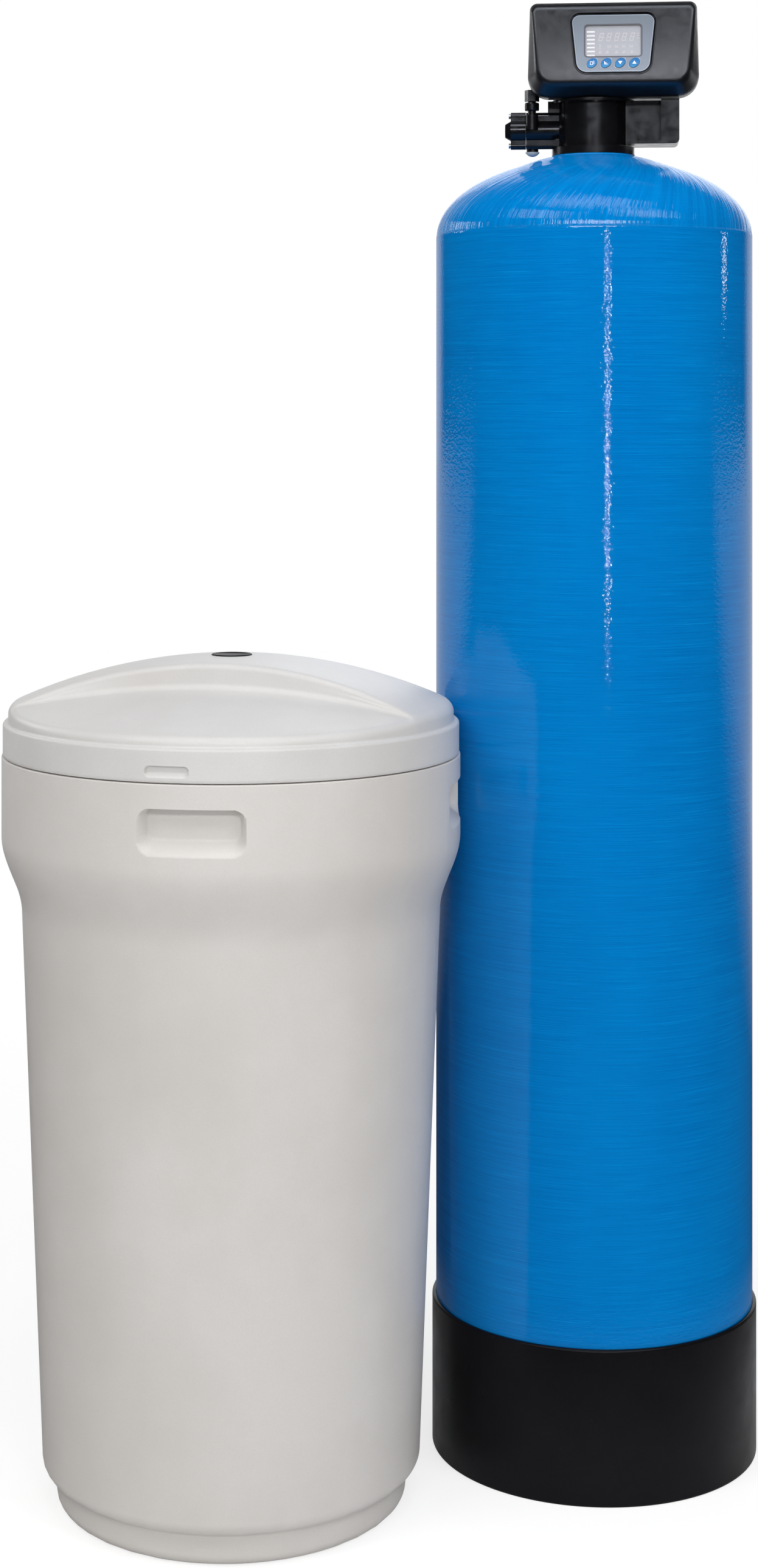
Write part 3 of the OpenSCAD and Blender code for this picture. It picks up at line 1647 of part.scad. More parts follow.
module salt_grid() {
  color([0.85, 0.86, 0.86]) at_tank() difference() {
    union() {
      translate([0, 0, grid_low]) cylinder(r = grid_r, h = grid_t);
      for (a = [15:90:285]) rotate(a) translate([grid_leg_pcd, 0, well_z])
        ring(grid_leg_r, grid_leg_r - grid_leg_wall, grid_low - well_z + eps);
    }
    translate(well_pos + [0, 0, grid_low - over])
      cylinder(r = well_r + 2 * fit_gap, h = grid_t + 2 * over);
    for (k = [1:grid_rings]) for (i = [0:6 * k - 1]) {
      spot = grid_pitch * k * [cos(60 * i / k), sin(60 * i / k), 0];
      if (norm(spot - well_pos) > well_r + grid_web) translate(spot + [0, 0, grid_low - over])
        cylinder(r = grid_hole_r, h = grid_t + 2 * over);
    }
  }
}

module brine_well() {
  color([0.88, 0.88, 0.86]) at_well() difference() {
    translate([0, 0, well_z]) ring(well_r, well_in_r, well_h - well_z);
    for (a = [0:45:135]) rotate(a) block(
      [-well_d, -well_slot_w / 2, well_z + well_slot_z],
      [well_d, well_slot_w / 2, well_z + well_slot_z + well_slot_h]
    );
    for (z = bolt_zs) rod([-well_d, 0, z], [0, 0, z], bolt_r + fit_gap);
  }
}

module well_cap() {
  color([0.88, 0.88, 0.86]) at_well() {
    translate([0, 0, well_h + seat_gap]) cylinder(r = well_r + fit_gap + cap_wall, h = cap_wall);
    translate([0, 0, well_h - cap_skirt])
      ring(well_r + fit_gap + cap_wall, well_r + fit_gap, cap_skirt + seat_gap + eps);
    translate([-cap_grip[0] / 2, -cap_grip[1] / 2, well_h + cap_wall]) cube(cap_grip);
  }
}

module float_valve() {
  color([0.85, 0.86, 0.86]) at_well() difference() {
    union() {
      block(
        [pickup_x - valve_end, -valve_half_w, valve_z],
        [rod_x + rod_r + rod_wall, valve_half_w, valve_top]
      );
      intersection() {
        block([-well_d, -valve_half_w, valve_z], [pickup_x, valve_half_w, valve_top]);
        cylinder(r = well_in_r - fit_gap, h = well_h);
      }
    }
    translate([pickup_x, 0, valve_z - over])
      cylinder(r = pickup_r + fit_gap, h = pickup_in + fit_gap + over);
    translate([pickup_x, 0, valve_z]) cylinder(r = pickup_r - pickup_wall, h = valve_h + over);
    translate([rod_x, 0, valve_z - over])
      cylinder(r = rod_r + run_gap, h = valve_h + 2 * over);
    for (z = bolt_zs) rod([-well_d, 0, z], [pickup_x - valve_end + 1, 0, z], bolt_r + fit_gap / 2);
  }
}

module float_rod() {
  color([0.3, 0.3, 0.32]) at_well() translate([rod_x, 0, 0]) {
    translate([0, 0, rod_low]) cylinder(r = rod_r, h = rod_top - rod_low);
    stops = [
      valve_top + run_gap, valve_z - float_travel - run_gap - rod_stop_h,
      float_z - rod_stop_h - seat_gap, float_z + float_h + seat_gap
    ];
    for (z = stops) translate([0, 0, z]) cylinder(r = rod_r + rod_stop, h = rod_stop_h);
  }
}

module float() {
  color([0.92, 0.92, 0.9]) at_well() translate([rod_x, 0, float_z])
    ring(float_r, rod_r + fit_gap / 3, float_h);
}

module air_check() {
  color([0.85, 0.86, 0.86]) at_well() translate([pickup_x, 0, 0]) difference() {
    union() {
      translate([0, 0, check_z]) cylinder(r = cage_out_r, h = check_h);
      translate([0, 0, check_z]) cylinder(r = pickup_r, h = valve_z + pickup_in - check_z);
    }
    translate([0, 0, check_z + check_seat_t]) cylinder(r = cage_in_r, h = ball_d + ball_travel + 1);
    translate([0, 0, check_z - over]) cylinder(r = ball_seat_r, h = check_seat_t + 2 * over);
    translate([0, 0, check_z + check_seat_t]) cylinder(r = pickup_r - pickup_wall, h = well_h);
    for (a = [0:90:270]) rotate(a) block(
      [0, -check_slot / 2, check_z + check_seat_t + 2],
      [cage_out_r + over, check_slot / 2, check_z + check_h - check_roof - 2]
    );
  }
}

module check_ball() {
  color([0.85, 0.3, 0.2]) at_well() translate([pickup_x, 0, ball_z]) sphere(r = ball_r);
}

module well_bolts() {
  color([0.75, 0.75, 0.77]) at_well() for (z = bolt_zs)
    translate([-well_r - seat_gap, 0, z]) rotate([0, -90, 0])
      screw(well_r + pickup_x - valve_end, bolt_r, bolt_head_r, bolt_head_h);
}

module overflow_elbow() {
  flange_end = rim_r + seat_gap + overflow_flange_t;
  spout_top = -overflow_elbow_r - overflow_collar;
  color([0.9, 0.9, 0.88]) at_wall(overflow_bearing, overflow_z) difference() {
    union() {
      rod([overflow_in, 0, 0], [flange_end, 0, 0], overflow_r);
      rod([rim_r + seat_gap, 0, 0], [flange_end, 0, 0], overflow_flange_r);
      rod([flange_end - eps, 0, 0], [overflow_turn, 0, 0], overflow_elbow_r);
      translate([overflow_turn, 0, 0]) sphere(r = overflow_elbow_r);
      rod([overflow_turn, 0, 0], [overflow_turn, 0, spout_top], overflow_elbow_r);
      rod([overflow_turn, 0, spout_top + eps], [overflow_turn, 0, -overflow_drop], overflow_r);
    }
    rod([overflow_in - over, 0, 0], [overflow_turn, 0, 0], overflow_r - overflow_wall);
    translate([overflow_turn, 0, 0]) sphere(r = overflow_r - overflow_wall);
    rod([overflow_turn, 0, 0], [overflow_turn, 0, -overflow_drop - over], overflow_r - overflow_wall);
  }
}

module overflow_nut() {
  inner = rim_r - tank_wall - 2 * seat_gap - overflow_nut_gap;
  color([0.9, 0.9, 0.88]) at_wall(overflow_bearing, overflow_z) difference() {
    translate([inner - overflow_nut_t, 0, 0]) rotate([0, 90, 0])
      cylinder(r = overflow_flange_r, h = overflow_nut_t, $fn = 6);
    rod([inner - overflow_nut_t - over, 0, 0], [inner + over, 0, 0], overflow_r + fit_gap / 2);
  }
}

vessel_boot();
vessel_shell();
vessel_liner();
resin_bed();
riser_tube();
bottom_strainer();
top_strainer();
valve_body();
neck_seal();
riser_seal();
disc_gasket();
fixed_disc();
moving_disc();
drive_stem();
thrust_washer();
body_cap();
drive_gear();
pinion();
gear_bracket();
drive_screws();
gear_motor();
meter_cage();
meter_impeller();
drain_fitting();
injector_cover();
injector_nozzle();
injector_throat();
injector_screws();
brine_connector();
brine_nut();
connector_ring();
brine_port_plug();
head_front();
head_plate();
head_rear();
head_screws();
fascia();
display_window();
display_module();
control_board();
button_menu();
button_back();
button_down();
button_up();
power_socket();
brine_tank();
brine_lid();
lid_plug();
salt_grid();
brine_well();
well_cap();
float_valve();
float_rod();
float();
air_check();
check_ball();
well_bolts();
overflow_elbow();
overflow_nut();
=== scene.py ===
"""Looks of a water softener: a wound blue vessel in a black boot, a black valve with a display
head on its neck, and a white brine tank with a domed lid. All lengths are in metres."""
import json
import math

import bpy
from mathutils import Matrix, Vector


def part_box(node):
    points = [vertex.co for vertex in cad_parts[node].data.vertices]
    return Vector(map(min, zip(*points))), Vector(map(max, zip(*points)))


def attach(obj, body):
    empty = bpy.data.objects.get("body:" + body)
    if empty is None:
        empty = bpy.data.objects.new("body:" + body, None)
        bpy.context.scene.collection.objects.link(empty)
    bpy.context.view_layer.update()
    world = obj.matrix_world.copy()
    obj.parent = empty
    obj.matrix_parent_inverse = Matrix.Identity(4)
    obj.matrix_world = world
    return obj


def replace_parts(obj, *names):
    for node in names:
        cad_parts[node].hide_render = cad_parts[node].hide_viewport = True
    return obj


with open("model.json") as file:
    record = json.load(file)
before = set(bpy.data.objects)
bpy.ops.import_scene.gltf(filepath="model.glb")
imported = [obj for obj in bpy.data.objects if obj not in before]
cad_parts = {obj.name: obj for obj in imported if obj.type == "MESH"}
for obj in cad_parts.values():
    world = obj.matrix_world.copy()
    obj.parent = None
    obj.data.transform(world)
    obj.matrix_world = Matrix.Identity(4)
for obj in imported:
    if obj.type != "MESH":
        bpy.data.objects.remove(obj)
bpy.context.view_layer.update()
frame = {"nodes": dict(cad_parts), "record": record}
NODES = frame["nodes"]

# Vessel: wall and domes, the windings around its neck and the end of the hoops
VESSEL_R = 0.167
VESSEL_H = 1.363
WOUND_WALL = 0.003
DOME_H = 0.084
DOME_LOW_Z = 0.0903
DOME_HIGH_Z = 1.2771
NECK_R = 0.045
NECK_EDGE = 0.001
NECK_RISE = 0.0036
NECK_REACH = 0.042
HOOP_STEP = 0.0005
HOOP_END = 0.001
HOOP_FADE = 0.0015

# Brine tank, from its floor up to its rim, and the hole for the tube
TANK_H = 0.748
TANK_WALL = 0.004
TANK_FLOOR = 0.005
PLINTH_R = 0.176
PLINTH_H = 0.033
PLINTH_ROUND = 0.012
PLINTH_FILLET = 0.004
FOOT_R = 0.1905
FOOT_ROUND = 0.014
WAIST_R = 0.211
WAIST_Z = 0.590
COLLAR_Z = 0.668
RIM_R = 0.2315
RIM_EDGE = 0.0012
LIP_R = 0.2248
LIP_H = 0.016
LIP_EDGE = 0.001
HOLE_R = 0.006
HOLE_REACH = 0.02
HOLE_TURN = math.radians(45)

# Grips in the tank's collar, how far their slopes reach in, and how softly these begin and end
GRIP_W = 0.100
GRIP_H = 0.044
GRIP_DEPTH = 0.015
GRIP_Z = 0.703
GRIP_ROUND = 0.012
GRIP_TURN = math.radians(-0.95)
GRIP_LIP = 0.002
GRIP_SIDE = 0.0025
GRIP_TOP = 0.0015
GRIP_LEDGE = 0.0146
SLOPE_FROM = 0.05
SLOPE_SPAN = 0.85
SLOPE_END = 0.2
SLOPE_START = 0.25

# Lid: skirt, crown and the two scoops
LID_R = 0.2303
LID_Z = 0.7483
LID_TOP = 0.8463
LID_WALL = 0.004
LID_TURN = math.radians(-6)
SKIRT_H = 0.033
SKIRT_FILLET = 0.002
SKIRT_ROUND = 0.003
SKIRT_EDGE = 0.0004
SEAM = 0.0010
CROWN_R = 0.2248
CROWN_SAG = 0.049
CROWN_EDGE = 0.007
SCOOP_V = 0.062
SCOOP_R = 0.780
SCOOP_DROP = 0.0278
SCOOP_WALL = 0.001
SCOOP_FALL = math.radians(9.6)
SCOOP_FLOOR_R = 1.250
CREST_ROUND = 0.006
CREASE_ROUND = 0.006

# Finger slots in the skirt, and the plug in the crown
SLOT_W = 0.043
SLOT_H = 0.011
SLOT_DEPTH = 0.0037
SLOT_RISE = 0.011
SLOT_TURN = math.radians(-0.8)
SLOT_BAND = 0.0072
SLOT_RAMP = 1.1
SLOT_EDGE = 0.0001
SLOT_SOFT = 0.0007
PLUG_R = 0.0205
PLUG_SINK = 0.0022
PLUG_STEP = 0.006
PLUG_GAP = 0.0003

# Head; an outline is its top width, low width, height, and the radii of its top and low corners
HEAD_X = 0.021
FACE_Y = 0.058
FACE_Z = 1.4736
FACE_LEAN = math.radians(10)
FACE_CROWN = 0.0020
FACE = (0.170, 0.157, 0.084, 0.007, 0.017)
SHELL = (0.174, 0.180, 0.099, 0.008, 0.022)
SHELL_Z = 1.4708
SHELL_WALL = 0.0025
SHOULDER_Y = 0.040
SPLIT_Y = 0.016
FASCIA = (0.087, 0.074, 0.0615, 0.008, 0.011)
FASCIA_MID = 0.00145
FASCIA_GROOVE = 0.002
FASCIA_FRONT = -0.0003
RECESS = 0.002
WINDOW_W = 0.0585
WINDOW_H = 0.034
WINDOW_MID = 0.00425
WINDOW_ROUND = 0.003
DISPLAY_FRONT = -0.0021

# Keys, and the thickness of the printed marks
BUTTON_PITCH = 0.0146
BUTTON_MID = -0.0199
BUTTON_L = 0.012
BUTTON_W = 0.0086
BUTTON_TURN = math.radians(42)
BUTTON_TOP = 0.0006
MARK_THICK = 0.0001
SIGN_THICK = 0.00012
FRAME_THICK = 0.00014

tank_low, tank_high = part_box("brine_tank")
TANK_X = (tank_low.x + tank_high.x) / 2
TANK_Y = (tank_low.y + tank_high.y) / 2


def srgb(r, g, b):
    """Linear colour of an 8-bit display colour."""
    out = []
    for value in (r, g, b):
        v = value / 255
        out.append(v / 12.92 if v <= 0.04045 else ((v + 0.055) / 1.055) ** 2.4)
    return (*out, 1.0)


# Materials
class Tree:
    """A material's nodes, with short calls for the ones used here."""

    def __init__(self, name):
        self.material = bpy.data.materials.new(name)
        self.material.use_nodes = True
        self.nodes = self.material.node_tree.nodes
        self.links = self.material.node_tree.links
        self.shader = self.nodes["Principled BSDF"]

    def node(self, kind, inputs=None, **settings):
        made = self.nodes.new("ShaderNode" + kind)
        for key, value in settings.items():
            setattr(made, key, value)
        for key, value in (inputs or {}).items():
            self.put(made.inputs[key], value)
        return made

    def put(self, socket, value):
        if isinstance(value, bpy.types.NodeSocket):
            self.links.new(value, socket)
        else:
            socket.default_value = value

    def set(self, **values):
        names = {
            "color": "Base Color", "rough": "Roughness", "metal": "Metallic", "normal": "Normal",
            "specular": "Specular IOR Level", "coat": "Coat Weight", "coat_rough": "Coat Roughness",
            "coat_normal": "Coat Normal", "alpha": "Alpha", "tint": "Specular Tint",
        }
        for key, value in values.items():
            self.put(self.shader.inputs[names[key]], value)

    def place(self):
        return self.node("TexCoord").outputs["Object"]

    def stretch(self, vector, scale):
        return self.node("Mapping", {"Vector": vector, "Scale": scale}).outputs["Vector"]

    def noise(self, vector, scale, detail=3.0, rough=0.5, warp=0.0):
        made = self.node("TexNoise", {
            "Vector": vector, "Scale": scale, "Detail": detail, "Roughness": rough, "Distortion": warp,
        })
        return made.outputs["Fac"]

    def math(self, operation, a, b=0.0):
        return self.node("Math", {0: a, 1: b}, operation=operation).outputs[0]

    def span(self, value, low, high, to_low=0.0, to_high=1.0):
        made = self.node("MapRange", {
            "Value": value, "From Min": low, "From Max": high, "To Min": to_low, "To Max": to_high,
        })
        return made.outputs["Result"]

    def mix(self, share, a, b):
        made = self.node("Mix", data_type="RGBA")
        self.put(made.inputs["Factor"], share)
        self.put(made.inputs["A"], a)
        self.put(made.inputs["B"], b)
        return made.outputs["Result"]

    def axes(self, vector):
        return self.node("SeparateXYZ", {"Vector": vector}).outputs

    def bump(self, height, distance):
        made = self.node("Bump", {"Height": height, "Distance": distance, "Strength": 1.0})
        return made.outputs["Normal"]


def tinted(color, share):
    """A colour made darker or lighter."""
    return (*[min(1.0, c * share) for c in color[:3]], 1.0)


def plastic(name, color, rough, specular=0.5, vary=0.12, grain=900.0, relief=0.00006, wide=9.0):
    """Moulded plastic with a fine grain, soft mottling and patches of different gloss."""
    t = Tree(name)
    place = t.place()
    cloud = t.noise(place, wide, 4.0, 0.6)
    fine = t.noise(place, grain, 2.0, 0.55)
    mixed = t.math("ADD", t.math("MULTIPLY", cloud, 0.65), t.math("MULTIPLY", fine, 0.35))
    t.set(color=t.mix(t.span(mixed, 0.35, 0.65), tinted(color, 1 - vary), tinted(color, 1 + vary)))
    t.set(rough=t.span(t.noise(place, wide * 2.7, 3.0), 0.3, 0.7, rough - 0.05, rough + 0.06))
    t.set(specular=specular, tint=(0.86, 0.90, 1.0, 1.0), normal=t.bump(fine, relief))
    return t.material


def metal(name, color, rough):
    """Plated or machined metal with fine level tool marks."""
    t = Tree(name)
    marks = t.noise(t.stretch(t.place(), (1.0, 1.0, 24.0)), 220.0, 3.0, 0.6)
    t.set(color=t.mix(t.span(marks, 0.3, 0.7), tinted(color, 0.86), tinted(color, 1.06)))
    t.set(rough=t.span(marks, 0.3, 0.7, rough - 0.06, rough + 0.08), metal=1.0)
    t.set(normal=t.bump(marks, 0.00002))
    return t.material


def wound_glass():
    """Blue resin over glass fibre: level hoops on the wall, slanted strands on the dome."""
    t = Tree("wound_glass")
    place = t.place()
    x, y, z = t.axes(place)
    hoops = t.noise(t.stretch(place, (6.0, 6.0, 600.0)), 1.0, 4.0, 0.65, 0.2)
    strands = t.noise(t.stretch(place, (18.0, 18.0, 1400.0)), 1.0, 3.0, 0.6, 0.1)
    radius = t.math("SQRT", t.math("ADD", t.math("MULTIPLY", x, x), t.math("MULTIPLY", y, y)))
    angle = t.math("ARCTAN2", x, t.math("MULTIPLY", y, -1.0))
    slant = t.math("ADD", angle, t.math("MULTIPLY", radius, 5.0))
    ring = t.node("CombineXYZ", {
        "X": t.math("MULTIPLY", t.math("COSINE", slant), 34.0),
        "Y": t.math("MULTIPLY", t.math("SINE", slant), 34.0),
        "Z": t.math("MULTIPLY", radius, 12.0),
    }).outputs["Vector"]
    dome = t.noise(ring, 1.0, 3.0, 0.6, 0.15)
    edge = t.math("ADD", z, t.math("MULTIPLY", t.math("SUBTRACT", hoops, 0.5), 0.006))
    on_dome = t.span(edge, DOME_HIGH_Z + 0.001, DOME_HIGH_Z + 0.003)
    level = t.math("ADD", t.math("MULTIPLY", hoops, 0.5), t.math("MULTIPLY", strands, 0.5))
    relief = t.math("ADD", t.math("MULTIPLY", level, t.math("SUBTRACT", 1.0, on_dome)),
                    t.math("MULTIPLY", dome, on_dome))
    patch = t.noise(t.stretch(place, (6.0, 6.0, 2.2)), 1.0, 3.0, 0.55)
    deep, plain, light = srgb(0, 112, 189), srgb(0, 128, 206), srgb(0, 141, 219)
    base = t.mix(t.span(relief, 0.38, 0.62), deep, plain)
    base = t.mix(t.math("MULTIPLY", t.span(patch, 0.4, 0.7), 0.30), base, light)
    # Painted light: the top dome is made a little lighter than the wall
    base = t.mix(t.math("MULTIPLY", on_dome, 0.10), base, srgb(0, 152, 232))
    base = t.mix(t.math("MULTIPLY", t.span(strands, 0.60, 0.74), 0.35), base, srgb(20, 160, 228))
    t.set(color=base, rough=t.span(relief, 0.3, 0.7, 0.40, 0.52), specular=0.0)
    t.set(normal=t.bump(relief, 0.0004))
    lumps = t.noise(t.stretch(place, (260.0, 260.0, 330.0)), 1.0, 1.0, 0.5)
    on_wall = t.math("MULTIPLY", t.math("SUBTRACT", 1.0, on_dome), 0.2)
    gloss = t.math("ADD", t.math("MULTIPLY", lumps, on_wall),
                   t.math("MULTIPLY", dome, t.math("MULTIPLY", on_dome, 1.5)))
    t.set(coat=0.55, coat_rough=0.04, coat_normal=t.bump(gloss, 0.0008))
    return t.material


def tank_plastic(name, low, high, speck, rough):
    """Off-white polyethylene with a fine grain and a faint cloudiness."""
    t = Tree(name)
    place = t.place()
    cloud = t.noise(place, 5.0, 4.0, 0.6)
    fine = t.noise(place, 650.0, 3.0, 0.6)
    base = t.mix(t.span(cloud, 0.35, 0.65), low, high)
    base = t.mix(t.math("MULTIPLY", t.span(fine, 0.35, 0.7), 0.12), base, speck)
    t.set(color=base, rough=t.span(fine, 0.3, 0.7, rough - 0.04, rough + 0.06), specular=0.5)
    t.set(normal=t.bump(fine, 0.00007))
    return t.material


def film(name, color, light, rough=0.35):
    """Printed film with painted shade: a slight vertical fade, darker toward its top."""
    t = Tree(name)
    place = t.place()
    z = t.axes(place)[2]
    # Painted shade: the film takes its top colour high on the face and its lighter low colour near the
    # bottom
    fade = t.span(z, FACE_Z - 0.03, FACE_Z + 0.034)
    fine = t.noise(place, 2600.0, 2.0)
    base = t.mix(fade, light, color)
    base = t.mix(t.math("MULTIPLY", fine, 0.10), base, tinted(color, 0.7))
    t.set(color=base, rough=t.span(fine, 0.3, 0.7, rough - 0.04, rough + 0.05), specular=0.4)
    return t.material


def button_film():
    """Blue key film with painted light: lighter toward its lower edge."""
    t = Tree("button_film")
    place = t.place()
    z = t.axes(place)[2]
    middle = FACE_Z + BUTTON_MID * math.cos(FACE_LEAN)
    fade = t.span(z, middle - 0.005, middle + 0.005)
    fine = t.noise(place, 1500.0, 2.0)
    # Painted light: the key is lighter toward its lower edge and darker above
    base = t.mix(fade, srgb(58, 146, 204), srgb(16, 104, 176))
    base = t.mix(t.math("MULTIPLY", fine, 0.2), base, srgb(28, 128, 200))
    t.set(color=base, rough=t.span(fine, 0.3, 0.7, 0.22, 0.3), specular=0.5, coat=0.3, coat_rough=0.1)
    return t.material


def glass():
    """Clear window with faint smudges."""
    t = Tree("window_clear")
    smudge = t.noise(t.place(), 60.0, 3.0)
    t.set(color=t.mix(smudge, srgb(232, 230, 236), srgb(245, 244, 248)))
    t.set(rough=t.span(smudge, 0.3, 0.7, 0.08, 0.16), alpha=0.10, specular=0.5)
    return t.material


def beads():
    """Packed resin beads."""
    t = Tree("resin_beads")
    cells = t.node("TexVoronoi", {"Vector": t.place(), "Scale": 900.0})
    tone = t.mix(t.span(cells.outputs["Distance"], 0.0, 0.8), srgb(196, 138, 62), srgb(120, 70, 22))
    t.set(color=tone, rough=t.span(cells.outputs["Distance"], 0.0, 0.8, 0.35, 0.6))
    t.set(normal=t.bump(cells.outputs["Distance"], -0.0004))
    return t.material


LOOKS = {
    "boot": plastic("boot_black", srgb(14, 13, 16), 0.32, 0.18, 0.25, 700.0, 0.00005, 14.0),
    "wound": wound_glass(),
    "liner": plastic("liner_natural", srgb(222, 226, 228), 0.4),
    "resin": beads(),
    "white_plastic": plastic("white_moulded", srgb(232, 232, 226), 0.4, 0.5, 0.05),
    "valve_plastic": plastic("valve_black", srgb(14, 14, 16), 0.21, 0.62, 0.25, 1100.0, 0.000015, 30.0),
    "head_plastic": plastic("head_black", srgb(14, 15, 18), 0.34, 0.90, 0.16, 1500.0, 0.00008, 40.0),
    "seal": plastic("seal_rubber", srgb(24, 24, 24), 0.6, 0.3),
    "ceramic": plastic("disc_ceramic", srgb(238, 234, 226), 0.22, 0.5, 0.04),
    "stem_plastic": plastic("stem_natural", srgb(206, 204, 198), 0.38),
    "brass": metal("pinion_brass", srgb(206, 178, 110), 0.3),
    "steel": metal("plated_steel", srgb(206, 206, 210), 0.3),
    "nozzle": plastic("nozzle_red", srgb(190, 52, 40), 0.35),
    # Each film takes a top colour and a lighter low colour; the change between them is painted shade
    "fascia": film("fascia_film", srgb(112, 122, 135), srgb(146, 157, 173)),
    "window": glass(),
    "display": film("display_cell", srgb(150, 155, 166), srgb(189, 193, 203), 0.3),
    "board": plastic("board_green", srgb(22, 92, 48), 0.32, 0.5, 0.2, 300.0),
    "button": button_film(),
    "tank_plastic": tank_plastic("tank_plastic", srgb(214, 210, 206), srgb(222, 219, 216),
                                 srgb(188, 182, 177), 0.42),
    "plug": plastic("plug_black", srgb(20, 20, 21), 0.5, 0.35),
    "ball": plastic("ball_red", srgb(206, 74, 46), 0.3),
}
LID_LOOK = tank_plastic("lid_plastic", srgb(214, 212, 210), srgb(222, 221, 220),
                        srgb(188, 185, 183), 0.42)
GROOVE = plastic("groove_black", srgb(16, 16, 18), 0.18, 0.5, 0.2, 700.0, 0.00002)
# The prints and the window border also take a top colour and a lighter low colour, for painted shade
PRINT = film("print_white", srgb(240, 240, 243), srgb(248, 248, 250), 0.4)
FAINT = film("print_faint", srgb(196, 193, 198), srgb(216, 213, 217), 0.4)
PALE = film("print_pale", srgb(150, 162, 180), srgb(186, 196, 212), 0.4)
BORDER = film("window_border", srgb(86, 88, 98), srgb(108, 110, 120), 0.4)

for part in frame["record"]["subparts"]:
    mesh = NODES[part["node"]].data
    mesh.materials.clear()
    mesh.materials.append(LOOKS[part["material_slot"]])


# Mesh helpers
def make(name, points, faces, material, smooth=True):
    """A new object in the scene from points and faces."""
    mesh = bpy.data.meshes.new(name)
    mesh.from_pydata(points, [], faces)
    mesh.validate()
    mesh.materials.append(material)
    piece = bpy.data.objects.new(name, mesh)
    bpy.context.scene.collection.objects.link(piece)
    for face in mesh.polygons:
        face.use_smooth = smooth
    return piece


def sharpen(piece, degrees):
    """Keeps edges steeper than an angle sharp under smooth shading."""
    mesh = piece.data
    limit = math.radians(degrees)
    owners = {}
    for face in mesh.polygons:
        for key in face.edge_keys:
            owners.setdefault(key, []).append(face.normal)
    for edge in mesh.edges:
        sides = owners.get(edge.key, [])
        edge.use_edge_sharp = len(sides) == 2 and sides[0].angle(sides[1], 0.0) > limit
    return piece


def skin(rings, closed):
    """Points and faces over rings of equal length; a ring of one point is a pole, and closed joins
    the last ring to the first."""
    points, starts, faces = [], [], []
    for ring in rings:
        starts.append(len(points))
        points.extend(ring)
    pairs = list(zip(range(len(rings) - 1), range(1, len(rings))))
    if closed:
        pairs.append((len(rings) - 1, 0))
    for i, j in pairs:
        a, b = rings[i], rings[j]
        n = max(len(a), len(b))
        for k in range(n):
            m = (k + 1) % n
            if len(a) == 1:
                faces.append((starts[i], starts[j] + m, starts[j] + k))
            elif len(b) == 1:
                faces.append((starts[i] + k, starts[i] + m, starts[j]))
            else:
                faces.append((starts[i] + k, starts[i] + m, starts[j] + m, starts[j] + k))
    return points, faces


def lathe(profile, angles, middle=(0.0, 0.0)):
    """Rings of a profile of (radius, height) turned about a vertical axis."""
    rings = []
    for r, z in profile:
        if r < 1e-6:
            rings.append([(middle[0], middle[1], z)])
        else:
            rings.append([
                (middle[0] + r * math.cos(a), middle[1] + r * math.sin(a), z) for a in angles
            ])
    return rings


def arc(x, y, r, start, end, steps):
    """Points of an arc, with its angles in degrees."""
    out = []
    for i in range(steps + 1):
        a = math.radians(start + (end - start) * i / steps)
        out.append((x + r * math.cos(a), y + r * math.sin(a)))
    return out


def spread(low, high, step):
    """Even values about a step apart, from low up to the last before high."""
    count = max(1, round((high - low) / step))
    return [low + (high - low) * i / count for i in range(count)]


def spaced(stops):
    """Values from stop to stop; each stop is a value and the step that follows it."""
    out = []
    for (low, step), (high, _) in zip(stops, stops[1:]):
        out += spread(low, high, step)
    return out


def circle_angles(count):
    return [math.tau * i / count for i in range(count)]


def smooth_step(value):
    """An eased rise from 0 at 0 to 1 at 1."""
    v = min(1.0, max(0.0, value))
    return v * v * (3 - 2 * v)


def soft_min(a, b, k):
    """The smaller value, blended where the two are closer than k."""
    h = max(k - abs(a - b), 0.0) / k
    return min(a, b) - h * h * k / 4


def soft_max(a, b, k):
    return -soft_min(-a, -b, k)


def box_distance(x, y, half_x, half_y, round_r):
    """Signed distance to a rounded rectangle, negative inside."""
    dx, dy = abs(x) - half_x + round_r, abs(y) - half_y + round_r
    return math.hypot(max(dx, 0.0), max(dy, 0.0)) + min(max(dx, dy), 0.0) - round_r


# Vessel
def vessel_profile(inset, neck):
    """Half the vessel's outline, from the bottom of the low dome to the neck."""
    a, b = VESSEL_R - inset, DOME_H - inset
    steps, gap, wall_step = 40, 0.002, 0.1
    last = math.acos(neck / a)
    low = [(a * math.cos(t), DOME_LOW_Z - b * math.sin(t))
           for t in (math.pi / 2 * i / steps for i in range(steps, -1, -1))]
    high = [(a * math.cos(t), DOME_HIGH_Z + b * math.sin(t))
            for t in (last * i / steps for i in range(steps + 1))]
    wall = [(a, z) for z in spread(DOME_LOW_Z + gap, DOME_HIGH_Z - gap, wall_step)]
    return low + wall + [(a, DOME_HIGH_Z - gap)] + high


def neck_rise(r, z):
    """How much the windings build up around the neck."""
    if z < DOME_HIGH_Z:
        return 0.0
    return NECK_RISE * smooth_step(1 - (r - NECK_R) / NECK_REACH)


def build_vessel():
    outer = [(r - HOOP_STEP * smooth_step((z - DOME_HIGH_Z - HOOP_END) / HOOP_FADE), z + neck_rise(r, z))
             for r, z in vessel_profile(0.0, NECK_R)]
    inner = vessel_profile(WOUND_WALL, NECK_R - WOUND_WALL)
    top = [(NECK_R - HOOP_STEP, VESSEL_H - NECK_EDGE), (NECK_R - HOOP_STEP - NECK_EDGE, VESSEL_H),
           (NECK_R - WOUND_WALL, VESSEL_H)]
    rings = lathe(outer + top + inner[::-1], circle_angles(192))
    piece = make("vessel_wound", *skin(rings, closed=False), LOOKS["wound"])
    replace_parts(sharpen(piece, 50), "vessel_shell")
    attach(piece, "root")


